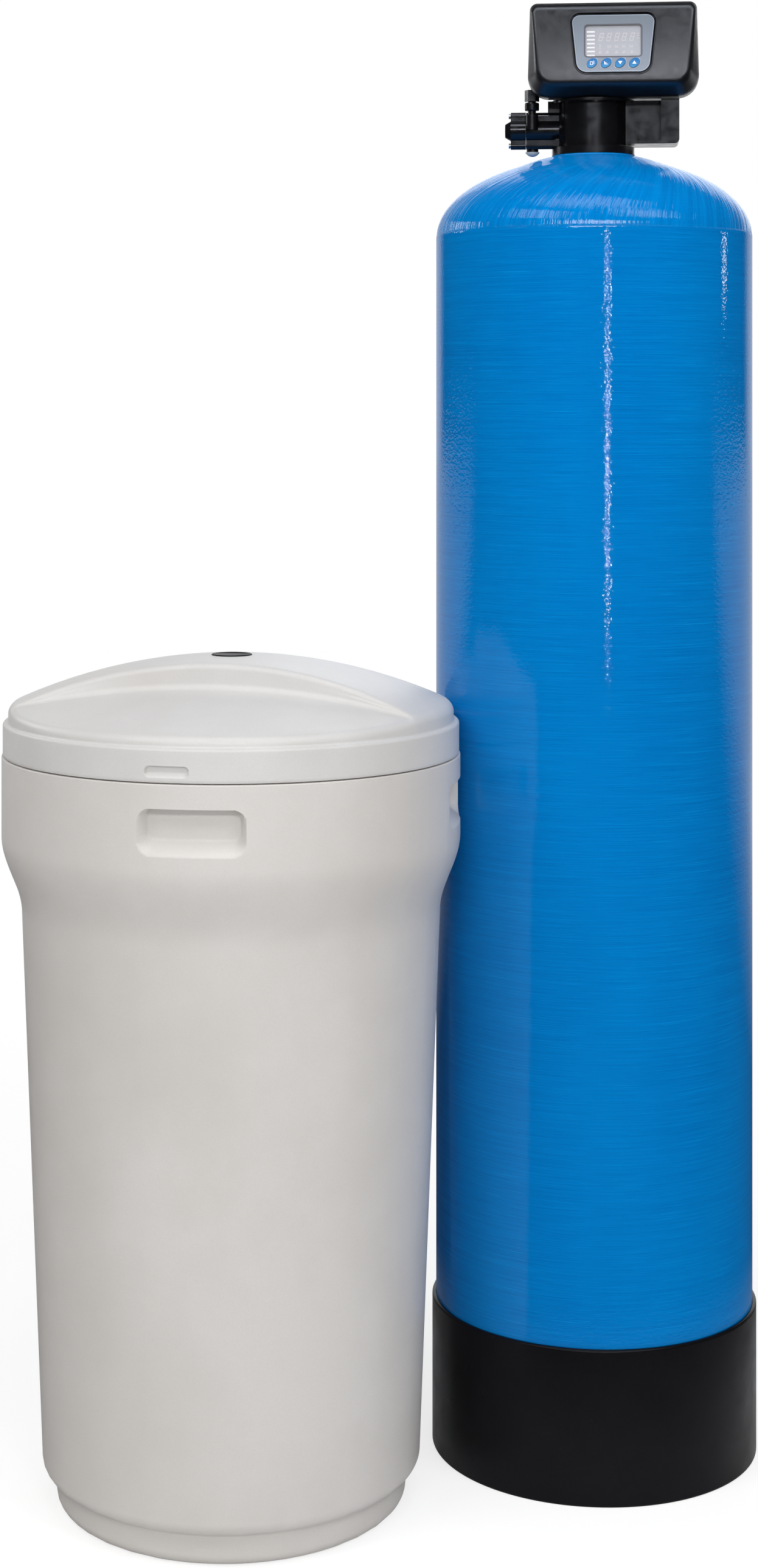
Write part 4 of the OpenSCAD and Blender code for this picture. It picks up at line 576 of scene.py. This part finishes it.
# Brine tank
def tank_profile(inset, floor_z, round_r):
    """Half outline of the tank's plinth and foot, from the middle of the floor outward."""
    plinth_r, plinth_z, fillet = PLINTH_R - inset, PLINTH_H + inset, PLINTH_FILLET
    out = [(0.0, floor_z)]
    out += arc(plinth_r - round_r, floor_z + round_r, round_r, -90, 0, 8)
    out += [(plinth_r, plinth_z - fillet)]
    out += arc(plinth_r + fillet, plinth_z - fillet, fillet, 180, 90, 4)[1:]
    out += arc(FOOT_R - FOOT_ROUND, PLINTH_H + FOOT_ROUND, FOOT_ROUND - inset, -70, 0, 10)
    return out


def tank_radius(z):
    """Outer radius of the tank above its foot."""
    foot_z = PLINTH_H + FOOT_ROUND
    if z <= WAIST_Z:
        return FOOT_R + (WAIST_R - FOOT_R) * (z - foot_z) / (WAIST_Z - foot_z)
    if z >= COLLAR_Z:
        return RIM_R
    share = (z - WAIST_Z) / (COLLAR_Z - WAIST_Z)
    return WAIST_R + (RIM_R - WAIST_R) * (1 - math.cos(math.pi * share)) / 2


def grip_depth(angle, z, grow):
    """How deep the grip recesses are at a point of the collar."""
    quarter = math.pi / 2
    off = (angle - GRIP_TURN + quarter / 2) % quarter - quarter / 2
    across, up = off * RIM_R, z - GRIP_Z
    lip = GRIP_LIP + grow
    outside = box_distance(across, up, GRIP_W / 2 + lip, GRIP_H / 2 + grow, GRIP_ROUND + lip)
    if outside >= 0:
        return 0.0
    back_h = (GRIP_H - GRIP_TOP - GRIP_LEDGE) / 2
    back_mid = (GRIP_LEDGE - GRIP_TOP) / 2
    inside = box_distance(across, up - back_mid, GRIP_W / 2 - GRIP_SIDE, back_h, GRIP_ROUND / 2)
    share = -outside / (max(inside, 0.0) - outside)
    ended = soft_min((share - SLOPE_FROM) / SLOPE_SPAN, 1.0, SLOPE_END)
    return (GRIP_DEPTH + grow) * soft_max(ended, 0.0, SLOPE_START)


def build_tank():
    # Points stand closer together at the edges of the grips
    quarter = math.pi / 2
    half = GRIP_W / 2 / RIM_R
    fine = 0.011 / RIM_R
    stops = [(-quarter / 2, 0.040), (-half - fine, 0.0011), (-half + fine, 0.006),
             (half - fine, 0.0011), (half + fine, 0.025), (quarter / 2, 1.0)]
    turns = spaced([(a, step / RIM_R) for a, step in stops])
    angles = [q * quarter + GRIP_TURN + a for q in range(4) for a in turns]
    last = TANK_H - 0.0015
    heights = spaced([
        (PLINTH_H + FOOT_ROUND, 0.03), (WAIST_Z, 0.003), (COLLAR_Z, 0.002), (COLLAR_Z + 0.004, 0.0011),
        (GRIP_Z - 0.003, 0.003), (GRIP_Z + 0.015, 0.0007), (GRIP_Z + 0.025, 0.004), (last, 1.0),
    ]) + [last]

    def wall(inset, grow, levels):
        out = []
        for z in levels:
            r = tank_radius(z) - inset
            reach = [(a, r - grip_depth(a, z, grow)) for a in angles]
            out.append([(TANK_X + d * math.cos(a), TANK_Y + d * math.sin(a), z) for a, d in reach])
        return out

    middle = (TANK_X, TANK_Y)
    rings = lathe(tank_profile(0.0, 0.0, PLINTH_ROUND), angles, middle)
    rings += wall(0.0, 0.0, heights[1:])
    lip_in, lip_top, soft = LIP_R - TANK_WALL, TANK_H + LIP_H, LIP_EDGE
    rim = arc(RIM_R - RIM_EDGE, TANK_H - RIM_EDGE, RIM_EDGE, 10, 90, 4)
    rim += [(LIP_R + soft, TANK_H), (LIP_R, TANK_H + soft), (LIP_R, lip_top - soft)]
    rim += [(LIP_R - soft, lip_top), (lip_in + soft, lip_top), (lip_in, lip_top - soft)]
    rim += [(lip_in, TANK_H - TANK_WALL), (RIM_R - TANK_WALL, TANK_H - 3 * TANK_WALL)]
    rings += lathe(rim, angles, middle)
    inner = [z for z in heights[::-1] if z < TANK_H - 0.014]
    rings += wall(TANK_WALL, TANK_WALL, inner[:-1])
    rings += lathe(tank_profile(TANK_WALL, TANK_FLOOR, PLINTH_ROUND - TANK_WALL)[::-1], angles, middle)
    piece = make("tank_shell", *skin(rings, closed=False), LOOKS["tank_plastic"])

    # Hole for the tube, through the collar at the rear right
    tube = [(0.0, -HOLE_REACH), (HOLE_R, -HOLE_REACH), (HOLE_R, HOLE_REACH), (0.0, HOLE_REACH)]
    bore = make("tube_bore", *skin(lathe(tube, circle_angles(32)), closed=False), LOOKS["tank_plastic"])
    out = Vector((math.cos(HOLE_TURN), math.sin(HOLE_TURN), 0.0))
    place = Matrix.Translation(Vector((TANK_X, TANK_Y, GRIP_Z)) + out * RIM_R)
    bore.matrix_world = place @ out.to_track_quat("Z", "Y").to_matrix().to_4x4()
    cut = piece.modifiers.new("bore", "BOOLEAN")
    cut.object = bore
    cut.operation = "DIFFERENCE"
    cut.solver = "EXACT"
    bpy.context.view_layer.objects.active = piece
    bpy.ops.object.modifier_apply(modifier="bore")
    bpy.data.objects.remove(bore)
    for face in piece.data.polygons:
        face.use_smooth = True
    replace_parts(sharpen(piece, 50), "brine_tank")
    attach(piece, "root")


# Lid
def lid_height(x, y, wall=0.0):
    """Height of the lid's top, or of its underside at a wall's depth, before the lid is turned."""
    ball = (CROWN_R ** 2 + CROWN_SAG ** 2) / (2 * CROWN_SAG)
    r = min(math.hypot(x, y), CROWN_R)
    top = LID_TOP - ball + math.sqrt(ball * ball - r * r)
    v = SCOOP_V - abs(y)
    crown = (math.sqrt(SCOOP_FLOOR_R ** 2 - x * x) - SCOOP_FLOOR_R) / math.cos(SCOOP_FALL)
    deep = max(0.0, top - (LID_TOP - SCOOP_DROP + v * math.tan(SCOOP_FALL) + crown))
    inset = SCOOP_R + wall - math.hypot(x, v + SCOOP_R)
    crest, crease = min(CREST_ROUND, 0.45 * deep), min(CREASE_ROUND, 0.45 * deep)
    if inset <= 0:
        cut = crest * quarter_round(1 + inset / CREST_ROUND)
    elif inset <= SCOOP_WALL:
        cut = crest + (deep - crest - crease) * inset / SCOOP_WALL
    else:
        cut = deep - crease * quarter_round(1 - (inset - SCOOP_WALL) / CREASE_ROUND)
    return top - wall - cut


def quarter_round(share):
    """Height of a rounding of radius 1, level at 0 and upright at 1."""
    s = min(1.0, max(0.0, share))
    return 1 - math.sqrt(1 - s * s)


def scoop_crossing(turn, inset):
    """Distance from the lid's middle, along one direction, to a line set into a scoop from its edge."""
    away = SCOOP_V + SCOOP_R
    r = SCOOP_R - inset
    s = abs(math.sin(turn))
    left = (s * away) ** 2 - away ** 2 + r * r
    return s * away - math.sqrt(left) if left > 0 else CROWN_R


def lid_angles():
    """Directions around the lid, closer together at its slots and at the ends of its scoops."""
    half = math.degrees((SLOT_W / 2 + 0.005) / LID_R)
    flat = math.degrees((SLOT_W / 2 - 0.005) / LID_R)
    stops = [(-90, 0.007), (-81, 0.0018), (-46, 0.006), (-half, 0.0007), (-flat, 0.003),
             (flat, 0.0007), (half, 0.006), (46, 0.0018), (81, 0.007), (90, 1.0)]
    turns = spaced([(math.radians(a), step / LID_R) for a, step in stops])
    return [side + SLOT_TURN + a for side in (-math.pi / 2, math.pi / 2) for a in turns]


def lid_radii(turn, last):
    """Radii of the crown's points in one direction, gathered at the crest and crease of a scoop."""
    lines = (-CREST_ROUND, 0.0, SCOOP_WALL, SCOOP_WALL + CREASE_ROUND)
    stages = ((12, lambda t: t), (8, lambda t: math.sin(math.pi / 2 * t)), (3, lambda t: t),
              (8, lambda t: 1 - math.cos(math.pi / 2 * t)), (12, lambda t: t))
    least = 0.0003
    stops = [PLUG_R + PLUG_GAP]
    for left, inset in zip((4, 3, 2, 1), lines):
        stops.append(min(max(scoop_crossing(turn, inset), stops[-1] + least), last - least * left))
    stops.append(last)
    radii = []
    for low, high, (count, ease) in zip(stops, stops[1:], stages):
        radii += [low + (high - low) * ease(i / count) for i in range(count)]
    return radii + [last]


def build_lid():
    angles = lid_angles()

    def level(profile):
        return [[(r, a, z) for a in angles] for r, z in profile]

    def on_lid(r, a, wall=0.0):
        return lid_height(r * math.cos(a), r * math.sin(a), wall)

    # Crown and its rounded edge
    last = CROWN_R - CROWN_EDGE
    columns = [lid_radii(a, last) for a in angles]
    rows = [[(r, a, on_lid(r, a)) for r, a in zip(radii, angles)] for radii in zip(*columns)]
    under = [[(r, a, on_lid(r, a, LID_WALL)) for r, a, _ in row] for row in rows[::-2]]
    for turn in (15, 30, 45, 60, 75, 90):
        r = last + CROWN_EDGE * math.sin(math.radians(turn))
        fall = CROWN_EDGE * (1 - math.cos(math.radians(turn)))
        rows.append([(r, a, on_lid(r, a) - fall) for a in angles])

    # Shoulder and skirt, with the finger slots pressed into it
    shoulder = LID_Z + SKIRT_H
    low_z = LID_Z + SEAM
    profile = arc(CROWN_R + SKIRT_FILLET, shoulder + SKIRT_FILLET, SKIRT_FILLET, 180, 268, 5)
    profile += arc(LID_R - SKIRT_ROUND, shoulder - SKIRT_ROUND, SKIRT_ROUND, 89, 0, 6)
    rows += level(profile)
    middle_z = LID_Z + SLOT_RISE
    heights = spaced([(shoulder - SKIRT_ROUND - 0.001, -0.003), (middle_z + SLOT_BAND, -0.0005),
                      (middle_z - SLOT_BAND, 1.0)])
    for z in heights + [low_z + SKIRT_EDGE]:
        ramp = smooth_step(SLOT_RAMP + (z - middle_z) / SLOT_H * 2)
        row = []
        for a in angles:
            off = (a - SLOT_TURN + math.pi) % math.pi - math.pi / 2
            d = box_distance(off * LID_R, z - middle_z, SLOT_W / 2, SLOT_H / 2, SLOT_H / 2)
            depth = SLOT_DEPTH * smooth_step((SLOT_EDGE - d) / SLOT_SOFT) * ramp
            row.append((LID_R - depth, a, z))
        rows.append(row)

    # Inside of the skirt, underside of the crown, and the plug's seat
    inner, crown_in, ceiling = LID_R - LID_WALL, CROWN_R - LID_WALL, shoulder - LID_WALL
    step = 0.001
    rows += level([(LID_R - SKIRT_EDGE, low_z), (inner, low_z), (inner, ceiling)])
    rows += level([(crown_in, ceiling + step)])
    rows += [[(min(r, crown_in - step), a, max(ceiling + step, z)) for r, a, z in row] for row in under]
    seat_r, seat_z = PLUG_R + PLUG_GAP, LID_TOP - PLUG_SINK
    stub = seat_r - PLUG_STEP
    rows += level([(stub, LID_TOP - 1.3 * LID_WALL), (stub, seat_z), (seat_r, seat_z)])
    rings = [[(TANK_X + r * math.cos(a + LID_TURN), TANK_Y + r * math.sin(a + LID_TURN), z)
              for r, a, z in row] for row in rows]
    piece = make("lid_shell", *skin(rings[::-1], closed=True), LID_LOOK)
    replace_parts(sharpen(piece, 50), "brine_lid")
    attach(piece, "lid")


def build_plug():
    low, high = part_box("lid_plug")
    bottom, top, stub = low.z, high.z, PLUG_R - PLUG_STEP
    under, edge, rim_w, dish, soft, hub = top - 0.003, 0.001, 0.004, 0.0004, 0.0005, 0.004
    profile = [(0.0, bottom), (stub - soft, bottom), (stub, bottom + soft), (stub, under)]
    profile += [(PLUG_R, under)] + arc(PLUG_R - edge, top - edge, edge, 0, 90, 4)
    profile += [(PLUG_R - rim_w, top), (PLUG_R - rim_w - soft, top - dish), (hub, top - dish)]
    profile += [(0.0, top - dish)]
    rings = lathe(profile, circle_angles(64), (TANK_X, TANK_Y))
    piece = make("plug_disc", *skin(rings, closed=False), LOOKS["plug"])
    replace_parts(sharpen(piece, 40), "lid_plug")
    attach(piece, "lid")


# Head
def trapezoid(size, grow=0.0, mid=0.0, corner=10, side=6):
    """Points of a rounded trapezoid, grown on all sides and moved up by mid."""
    top_w, low_w, h, r_top, r_low = size
    lean = math.atan((top_w - low_w) / 2 / h)
    top_w, h = top_w + 2 * grow, h + 2 * grow
    r_top, r_low = r_top + grow, r_low + grow

    def corner_x(r, y):
        reach = math.cos(lean) * top_w / 2 - math.sin(lean) * h / 2 - r
        return (reach + math.sin(lean) * y) / math.cos(lean)

    s = math.degrees(lean)
    x_top, x_low = corner_x(r_top, h / 2 - r_top), corner_x(r_low, r_low - h / 2)
    corners = [
        arc(x_top, h / 2 - r_top, r_top, -s, 90, corner),
        arc(-x_top, h / 2 - r_top, r_top, 90, 180 + s, corner),
        arc(-x_low, r_low - h / 2, r_low, 180 + s, 270, corner),
        arc(x_low, r_low - h / 2, r_low, 270, 360 - s, corner),
    ]
    out = []
    for i, points in enumerate(corners):
        out += points
        (ax, ay), (bx, by) = points[-1], corners[(i + 1) % 4][0]
        out += [(ax + (bx - ax) * k / side, ay + (by - ay) * k / side) for k in range(1, side)]
    return [(x, y + mid) for x, y in out]


def on_face(x, y, z):
    """A point of the head's face: x right, y up the face and z out of it."""
    c, s = math.cos(FACE_LEAN), math.sin(FACE_LEAN)
    return Vector((HEAD_X + x, -FACE_Y + y * s - z * c, FACE_Z + y * c + z * s))


def bend(before, edge, after, steps=5):
    """Rings of a rounded edge between two rings, drawn toward the sharp edge."""
    out = []
    for i in range(steps + 1):
        t = i / steps
        u = 1 - t
        out.append([a * u ** 2 + e * 2 * t * u + b * t * t for a, e, b in zip(before, edge, after)])
    return out


def build_head():
    def shell(y, grow):
        return [Vector((HEAD_X + px, -y, SHELL_Z + pz)) for px, pz in trapezoid(SHELL, grow)]

    def face(grow, depth, size=FACE, mid=0.0):
        crown = FACE_CROWN if depth >= 0 else 0.0
        return [on_face(px, py, depth + crown * max(0.0, 1 - (2 * py / FACE[2]) ** 2))
                for px, py in trapezoid(size, grow, mid)]

    def around(grow, depth):
        return face(grow, depth, FASCIA, FASCIA_MID)

    seam, shoulder_round, face_round = 0.0006, 0.004, 0.0045
    edge, shoulder = face(0.0, 0.0), shell(SHOULDER_Y, 0.0)
    side = [e.lerp(s, 0.30) for e, s in zip(edge, shoulder)]
    low_side = [e.lerp(s, 0.80) for e, s in zip(edge, shoulder)]
    rings = [shell(SPLIT_Y, -seam), shell(SPLIT_Y + seam, 0.0)]
    rings += bend(shell(SHOULDER_Y - shoulder_round, 0.0), shoulder, low_side)
    rings += bend(side, edge, face(-face_round, 0.0))

    # A low lip around the fascia, then its groove and the floor that the fascia lies on
    lip, g = 0.0005, FASCIA_GROOVE
    rings.append(around(g + 0.0016, 0.0))
    rings += bend(around(g + 0.0014, 0.0), around(g + 0.0012, lip), around(g + 0.0007, lip), 3)
    rings += bend(around(g + 0.0004, lip), around(g, lip), around(g, -0.0006), 3)
    groove_from = len(rings) - 1
    opening, inside = -0.004, -0.005
    rings += [around(g, -RECESS), around(opening, -RECESS), around(opening, inside), face(-0.003, inside)]
    rings += [shell(SHOULDER_Y, -SHELL_WALL), shell(SPLIT_Y, -SHELL_WALL)]
    count = len(rings[0])
    points, faces = skin([[tuple(p) for p in ring] for ring in rings], closed=True)
    piece = make("head_cover", points, faces, LOOKS["head_plastic"])
    piece.data.materials.append(GROOVE)
    for i, poly in enumerate(piece.data.polygons):
        if groove_from <= i // count <= groove_from + 1:
            poly.material_index = 1
    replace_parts(sharpen(piece, 35), "head_front")
    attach(piece, "root")


def flat_piece(name, outline, depth, thick, material, body="root", holes=None):
    """A thin plate on the face with this outline, or a frame between outline and holes."""
    top = [tuple(on_face(x, y, depth + thick)) for x, y in outline]
    low = [tuple(on_face(x, y, depth)) for x, y in outline]
    n = len(outline)
    if holes is None:
        points = low + top
        faces = [tuple(range(n, 2 * n)), tuple(range(n - 1, -1, -1))]
        faces += [(i, (i + 1) % n, n + (i + 1) % n, n + i) for i in range(n)]
    else:
        rings = [low, top, [tuple(on_face(x, y, depth + thick)) for x, y in holes],
                 [tuple(on_face(x, y, depth)) for x, y in holes]]
        points, faces = skin(rings, closed=True)
    piece = make(name, points, faces, material, smooth=False)
    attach(piece, body)
    return piece


def rounded(w, h, r, mid, steps=6):
    """Points of a rounded rectangle about a middle."""
    out = []
    for i, (sx, sy) in enumerate(((1, 1), (-1, 1), (-1, -1), (1, -1))):
        out += arc(mid[0] + sx * (w / 2 - r), mid[1] + sy * (h / 2 - r), r, 90 * i, 90 * i + 90, steps)
    return out


def join(pieces, name):
    """Makes one object of several."""
    bpy.ops.object.select_all(action="DESELECT")
    for p in pieces:
        p.select_set(True)
    bpy.context.view_layer.objects.active = pieces[0]
    bpy.ops.object.join()
    pieces[0].name = name
    pieces[0].data.name = name
    return pieces[0]


def build_fascia():
    """The fascia's printed rim and the frame of its window."""
    def window(grow, r):
        return rounded(WINDOW_W + grow, WINDOW_H + grow, r, (0, WINDOW_MID))

    flat_piece("fascia_rim", trapezoid(FASCIA, -0.0001, FASCIA_MID), FASCIA_FRONT, SIGN_THICK, PALE,
               holes=trapezoid(FASCIA, -0.0009, FASCIA_MID))
    flat_piece("window_frame", window(0.0022, WINDOW_ROUND + 0.001), FASCIA_FRONT, FRAME_THICK, BORDER,
               holes=window(-0.0006, WINDOW_ROUND))


def build_display():
    """Marks of the display: bars at the left, a row of slanted digits and two rows of small signs.
    Places are shares of the window's width and height from its upper left corner."""
    depth = DISPLAY_FRONT + MARK_THICK

    def spot(u, v):
        return (-WINDOW_W / 2 + u * WINDOW_W, WINDOW_MID + WINDOW_H / 2 - v * WINDOW_H)

    def bar(u0, v0, u1, v1, material, lean=0.0):
        (x0, y0), (x1, y1) = spot(u0, v0), spot(u1, v1)
        s = lean * (y0 - y1)
        outline = [(x0, y1), (x1, y1), (x1 + s, y0), (x0 + s, y0)]
        return flat_piece("mark", outline, depth, MARK_THICK, material)

    bars = [bar(0.035, 0.175 + 0.125 * i, 0.175, 0.225 + 0.125 * i, PRINT) for i in range(7)]
    join(bars, "level_bars")
    signs = []
    w, top, mid, low, stroke, slant = 0.075, 0.24, 0.355, 0.47, 0.016, 0.14
    for u in (0.235, 0.375, 0.515, 0.645, 0.785):
        for v in (top, mid, low):
            shift = (low - v) * slant
            signs.append(bar(u + shift, v, u + w + shift, v + 0.03, FAINT))
        for left in (u, u + w - stroke):
            for v0, v1 in ((top + 0.035, mid - 0.008), (mid + 0.035, low - 0.008)):
                shift = (low - v1) * slant
                signs.append(bar(left + shift, v0, left + stroke + shift, v1, FAINT, 0.25))
    signs.append(bar(0.335, 0.37, 0.35, 0.40, FAINT))
    signs.append(bar(0.745, 0.47, 0.757, 0.50, FAINT))
    for u, v in ((0.25, 0.60), (0.25, 0.66), (0.25, 0.72)):
        signs.append(bar(u, v, u + 0.03, v + 0.03, FAINT))
    for u in (0.40, 0.53, 0.66, 0.79):
        for k in range(3):
            signs.append(bar(u + 0.022 * k, 0.62 + 0.02 * (k % 2), u + 0.022 * k + 0.012, 0.72, FAINT))
    for u in (0.24, 0.37, 0.53, 0.66, 0.80):
        signs.append(bar(u, 0.86, u + 0.05, 0.89, FAINT))
        signs.append(bar(u + 0.012, 0.80, u + 0.026, 0.86, FAINT, 0.3))
        signs.append(bar(u + 0.036, 0.81, u + 0.048, 0.86, FAINT, 0.3))
    for k in range(3):
        signs.append(bar(0.915, 0.25 + 0.075 * k, 0.965, 0.275 + 0.075 * k, FAINT))
    join(signs, "display_signs")


# Signs on the keys, in millimetres from a key's middle: outlines, each with its hole if it has one
KEY_SIGNS = {
    "menu_key": [
        ([(-2, -2.2), (1, -2.2), (1, 1.6), (-2, 1.6)],
         [(-1.4, -1.6), (0.4, -1.6), (0.4, 1.0), (-1.4, 1.0)]),
        ([(1.6, -1.2), (2.2, -1.2), (2.2, 2.4), (1.6, 2.4)], None),
    ],
    "back_key": [
        ([(-1.9, -1.8), (2.0, -1.8), (2.0, -1.2), (-1.2, -0.7), (-1.2, -0.3),
          (0.6, -0.3), (0.6, 0.2), (-1.2, 0.6), (-1.2, 1.8), (-1.9, 1.8)], None),
    ],
    "down_key": [([(-2.2, 1.7), (0.0, -2.0), (2.2, 1.7)], None)],
    "up_key": [([(-2.2, -1.5), (2.2, -1.5), (0.0, 2.0)], None)],
}


def glint_crescent(x, side):
    """Outline of a painted highlight: a pale crescent at one end of a key."""
    near, swell, spread_angle, steps = 1.07, 0.16, 62, 12
    cos_turn, sin_turn = math.cos(BUTTON_TURN), math.sin(BUTTON_TURN)
    inner, outer = [], []
    for k in range(steps + 1):
        a = math.radians(2 * spread_angle * k / steps - spread_angle)
        far = near + swell * (1 - abs(k - steps / 2) / (steps / 2))
        for ring, reach in ((inner, near), (outer, far)):
            ex = side * BUTTON_L / 2 * reach * math.cos(a)
            ey = BUTTON_W / 2 * reach * math.sin(a)
            ring.append((x + ex * cos_turn - ey * sin_turn, BUTTON_MID + ex * sin_turn + ey * cos_turn))
    outline = outer + inner[-2:0:-1]
    return outline if side > 0 else outline[::-1]


def build_buttons():
    """Printed signs on the keys, and pale crescents beside them that are painted highlights."""
    cells = []
    for i, (body, shapes) in enumerate(KEY_SIGNS.items()):
        x = (i - 1.5) * BUTTON_PITCH

        def on_key(points):
            return points and [(x + px * 0.001, BUTTON_MID + py * 0.001) for px, py in points]

        parts = [flat_piece("sign", on_key(outline), BUTTON_TOP, SIGN_THICK, PRINT, body,
                            holes=on_key(hole)) for outline, hole in shapes]
        join(parts, "sign_" + body)
        # Painted highlights: pale crescents on the fascia at both ends of each key
        for side in (-1, 1):
            cells.append(flat_piece("glint_crescent", glint_crescent(x, side), FASCIA_FRONT, MARK_THICK, PALE))
    join(cells, "key_crescents")


# Stage: white, and the share of the white room's light that matt surfaces get
WHITE = (1.0, 1.0, 1.0, 1.0)
AMBIENT = 0.25


def build_stage():
    scene = bpy.context.scene
    scene.view_settings.view_transform = "Standard"
    lens = bpy.data.cameras.new("camera")
    camera = bpy.data.objects.new("camera", lens)
    scene.collection.objects.link(camera)
    camera.location = (0.0253, -2.7414, 1.105)
    camera.rotation_euler = (math.pi / 2, 0.0, math.radians(6))
    lens.sensor_width = 36.0
    lens.lens = 58.97
    lens.shift_x = 0.0201
    lens.shift_y = -0.2455
    scene.camera = camera

    # Floor: lit by the lamps near the object, plain white far away, and dim in reflections of its front
    t = Tree("floor_white")
    grain = t.noise(t.place(), 40.0, 3.0)
    t.set(color=t.mix(grain, (0.80, 0.80, 0.80, 1.0), (0.86, 0.86, 0.86, 1.0)), rough=0.8, specular=0.1)
    shade = t.node("BsdfDiffuse", {"Color": (0.42, 0.42, 0.42, 1.0)})
    glow = t.node("Emission", {"Color": WHITE, "Strength": 0.70})
    near = t.node("AddShader", {0: shade.outputs[0], 1: glow.outputs[0]})
    white = t.node("Emission", {"Color": WHITE, "Strength": 1.0})
    x, y, _ = t.axes(t.place())
    away = t.math("SQRT", t.math("ADD", t.math("MULTIPLY", x, x), t.math("MULTIPLY", y, y)))
    seen = t.node("MixShader", {0: t.span(away, 0.9, 2.0), 1: near.outputs[0], 2: white.outputs[0]})
    rays = t.node("LightPath").outputs
    direct = t.math("MAXIMUM", rays["Is Camera Ray"], rays["Is Transmission Ray"])
    dim = t.node("Emission", {"Color": WHITE, "Strength": t.span(y, 1.5, 4.0, 0.04, 0.9)})
    mirrored = t.math("MULTIPLY", rays["Is Glossy Ray"], t.span(away, 0.3, 0.7))
    lit = t.node("MixShader", {0: mirrored, 1: t.shader.outputs[0], 2: dim.outputs[0]})
    choice = t.node("MixShader", {0: direct, 1: lit.outputs[0], 2: seen.outputs[0]})
    t.put(t.nodes["Material Output"].inputs["Surface"], choice.outputs[0])
    reach = 40.0
    corners = [(-reach, -reach, 0), (reach, -reach, 0), (reach, reach, 0), (-reach, reach, 0)]
    make("floor", corners, [(0, 1, 2, 3)], t.material, False)

    world = bpy.data.worlds.new("studio")
    scene.world = world
    world.use_nodes = True
    nodes, links = world.node_tree.nodes, world.node_tree.links
    sky = nodes["Background"]
    sky.inputs["Color"].default_value = WHITE

    def world_math(operation, a, b):
        made = nodes.new("ShaderNodeMath")
        made.operation = operation
        for socket, value in zip(made.inputs, (a, b)):
            if isinstance(value, bpy.types.NodeSocket):
                links.new(value, socket)
            else:
                socket.default_value = value
        return made.outputs[0]

    # White to the camera; reflections see it white behind the object and dim in front of it
    rays = nodes.new("ShaderNodeLightPath").outputs
    split = nodes.new("ShaderNodeSeparateXYZ")
    links.new(nodes.new("ShaderNodeTexCoord").outputs["Generated"], split.inputs[0])
    fade = nodes.new("ShaderNodeMapRange")
    fade.interpolation_type = "SMOOTHSTEP"
    links.new(split.outputs["Y"], fade.inputs["Value"])
    for name, value in (("From Min", 0.74), ("From Max", 0.9), ("To Min", 0.03), ("To Max", 1.0)):
        fade.inputs[name].default_value = value
    direct = world_math("MAXIMUM", rays["Is Camera Ray"], rays["Is Transmission Ray"])
    mirrored = world_math("MULTIPLY", rays["Is Glossy Ray"], fade.outputs["Result"])
    diffuse = world_math("MULTIPLY", world_math("SUBTRACT", 1.0, rays["Is Glossy Ray"]), AMBIENT)
    level = world_math("MAXIMUM", direct, world_math("MAXIMUM", mirrored, diffuse))
    links.new(level, sky.inputs["Strength"])

    def lamp(name, at, toward, size, size_y, power, color=(1.0, 1.0, 1.0)):
        light = bpy.data.lights.new(name, "AREA")
        light.shape = "RECTANGLE"
        light.size, light.size_y = size, size_y
        light.energy = power
        light.color = color
        holder = bpy.data.objects.new(name, light)
        scene.collection.objects.link(holder)
        holder.location = at
        holder.rotation_euler = (Vector(toward) - Vector(at)).to_track_quat("-Z", "Y").to_euler()
        holder.visible_camera = False

    lamp("left", (-2.34, -2.48, 3.81), (-0.1, 0.0, 0.8), 1.8, 1.4, 37.0, (1.0, 0.985, 0.975))
    lamp("right", (2.14, -2.48, 3.81), (-0.1, 0.0, 0.8), 1.8, 1.4, 38.0, (0.985, 0.99, 1.0))
    lamp("front", (0.2, -4.4, 2.7), (-0.1, 0.0, 0.8), 3.2, 0.5, 63.0, (1.0, 0.985, 0.975))
    lamp("over", (-0.1, -0.9, 3.3), (-0.1, 0.0, 0.8), 1.8, 0.8, 17.0, (0.97, 0.985, 1.0))
    lamp("strip", (0.46, -2.55, 1.05), (0.0, 0.0, 1.05), 0.016, 0.8, 3.8, (1.0, 0.97, 0.92))
    lamp("side", (2.2, 0.6, 1.36), (0.1, 0.0, 1.2), 0.1, 0.12, 0.5)
    lamp("edge", (-2.9, 1.3, 2.05), (0.0, 0.0, 1.45), 0.8, 0.5, 10.0)
    lamp("back", (0.3, 2.6, 2.2), (0.0, 0.0, 0.7), 2.0, 1.5, 11.0)


build_vessel()
build_tank()
build_lid()
build_plug()
build_head()
build_fascia()
build_display()
build_buttons()
build_stage()
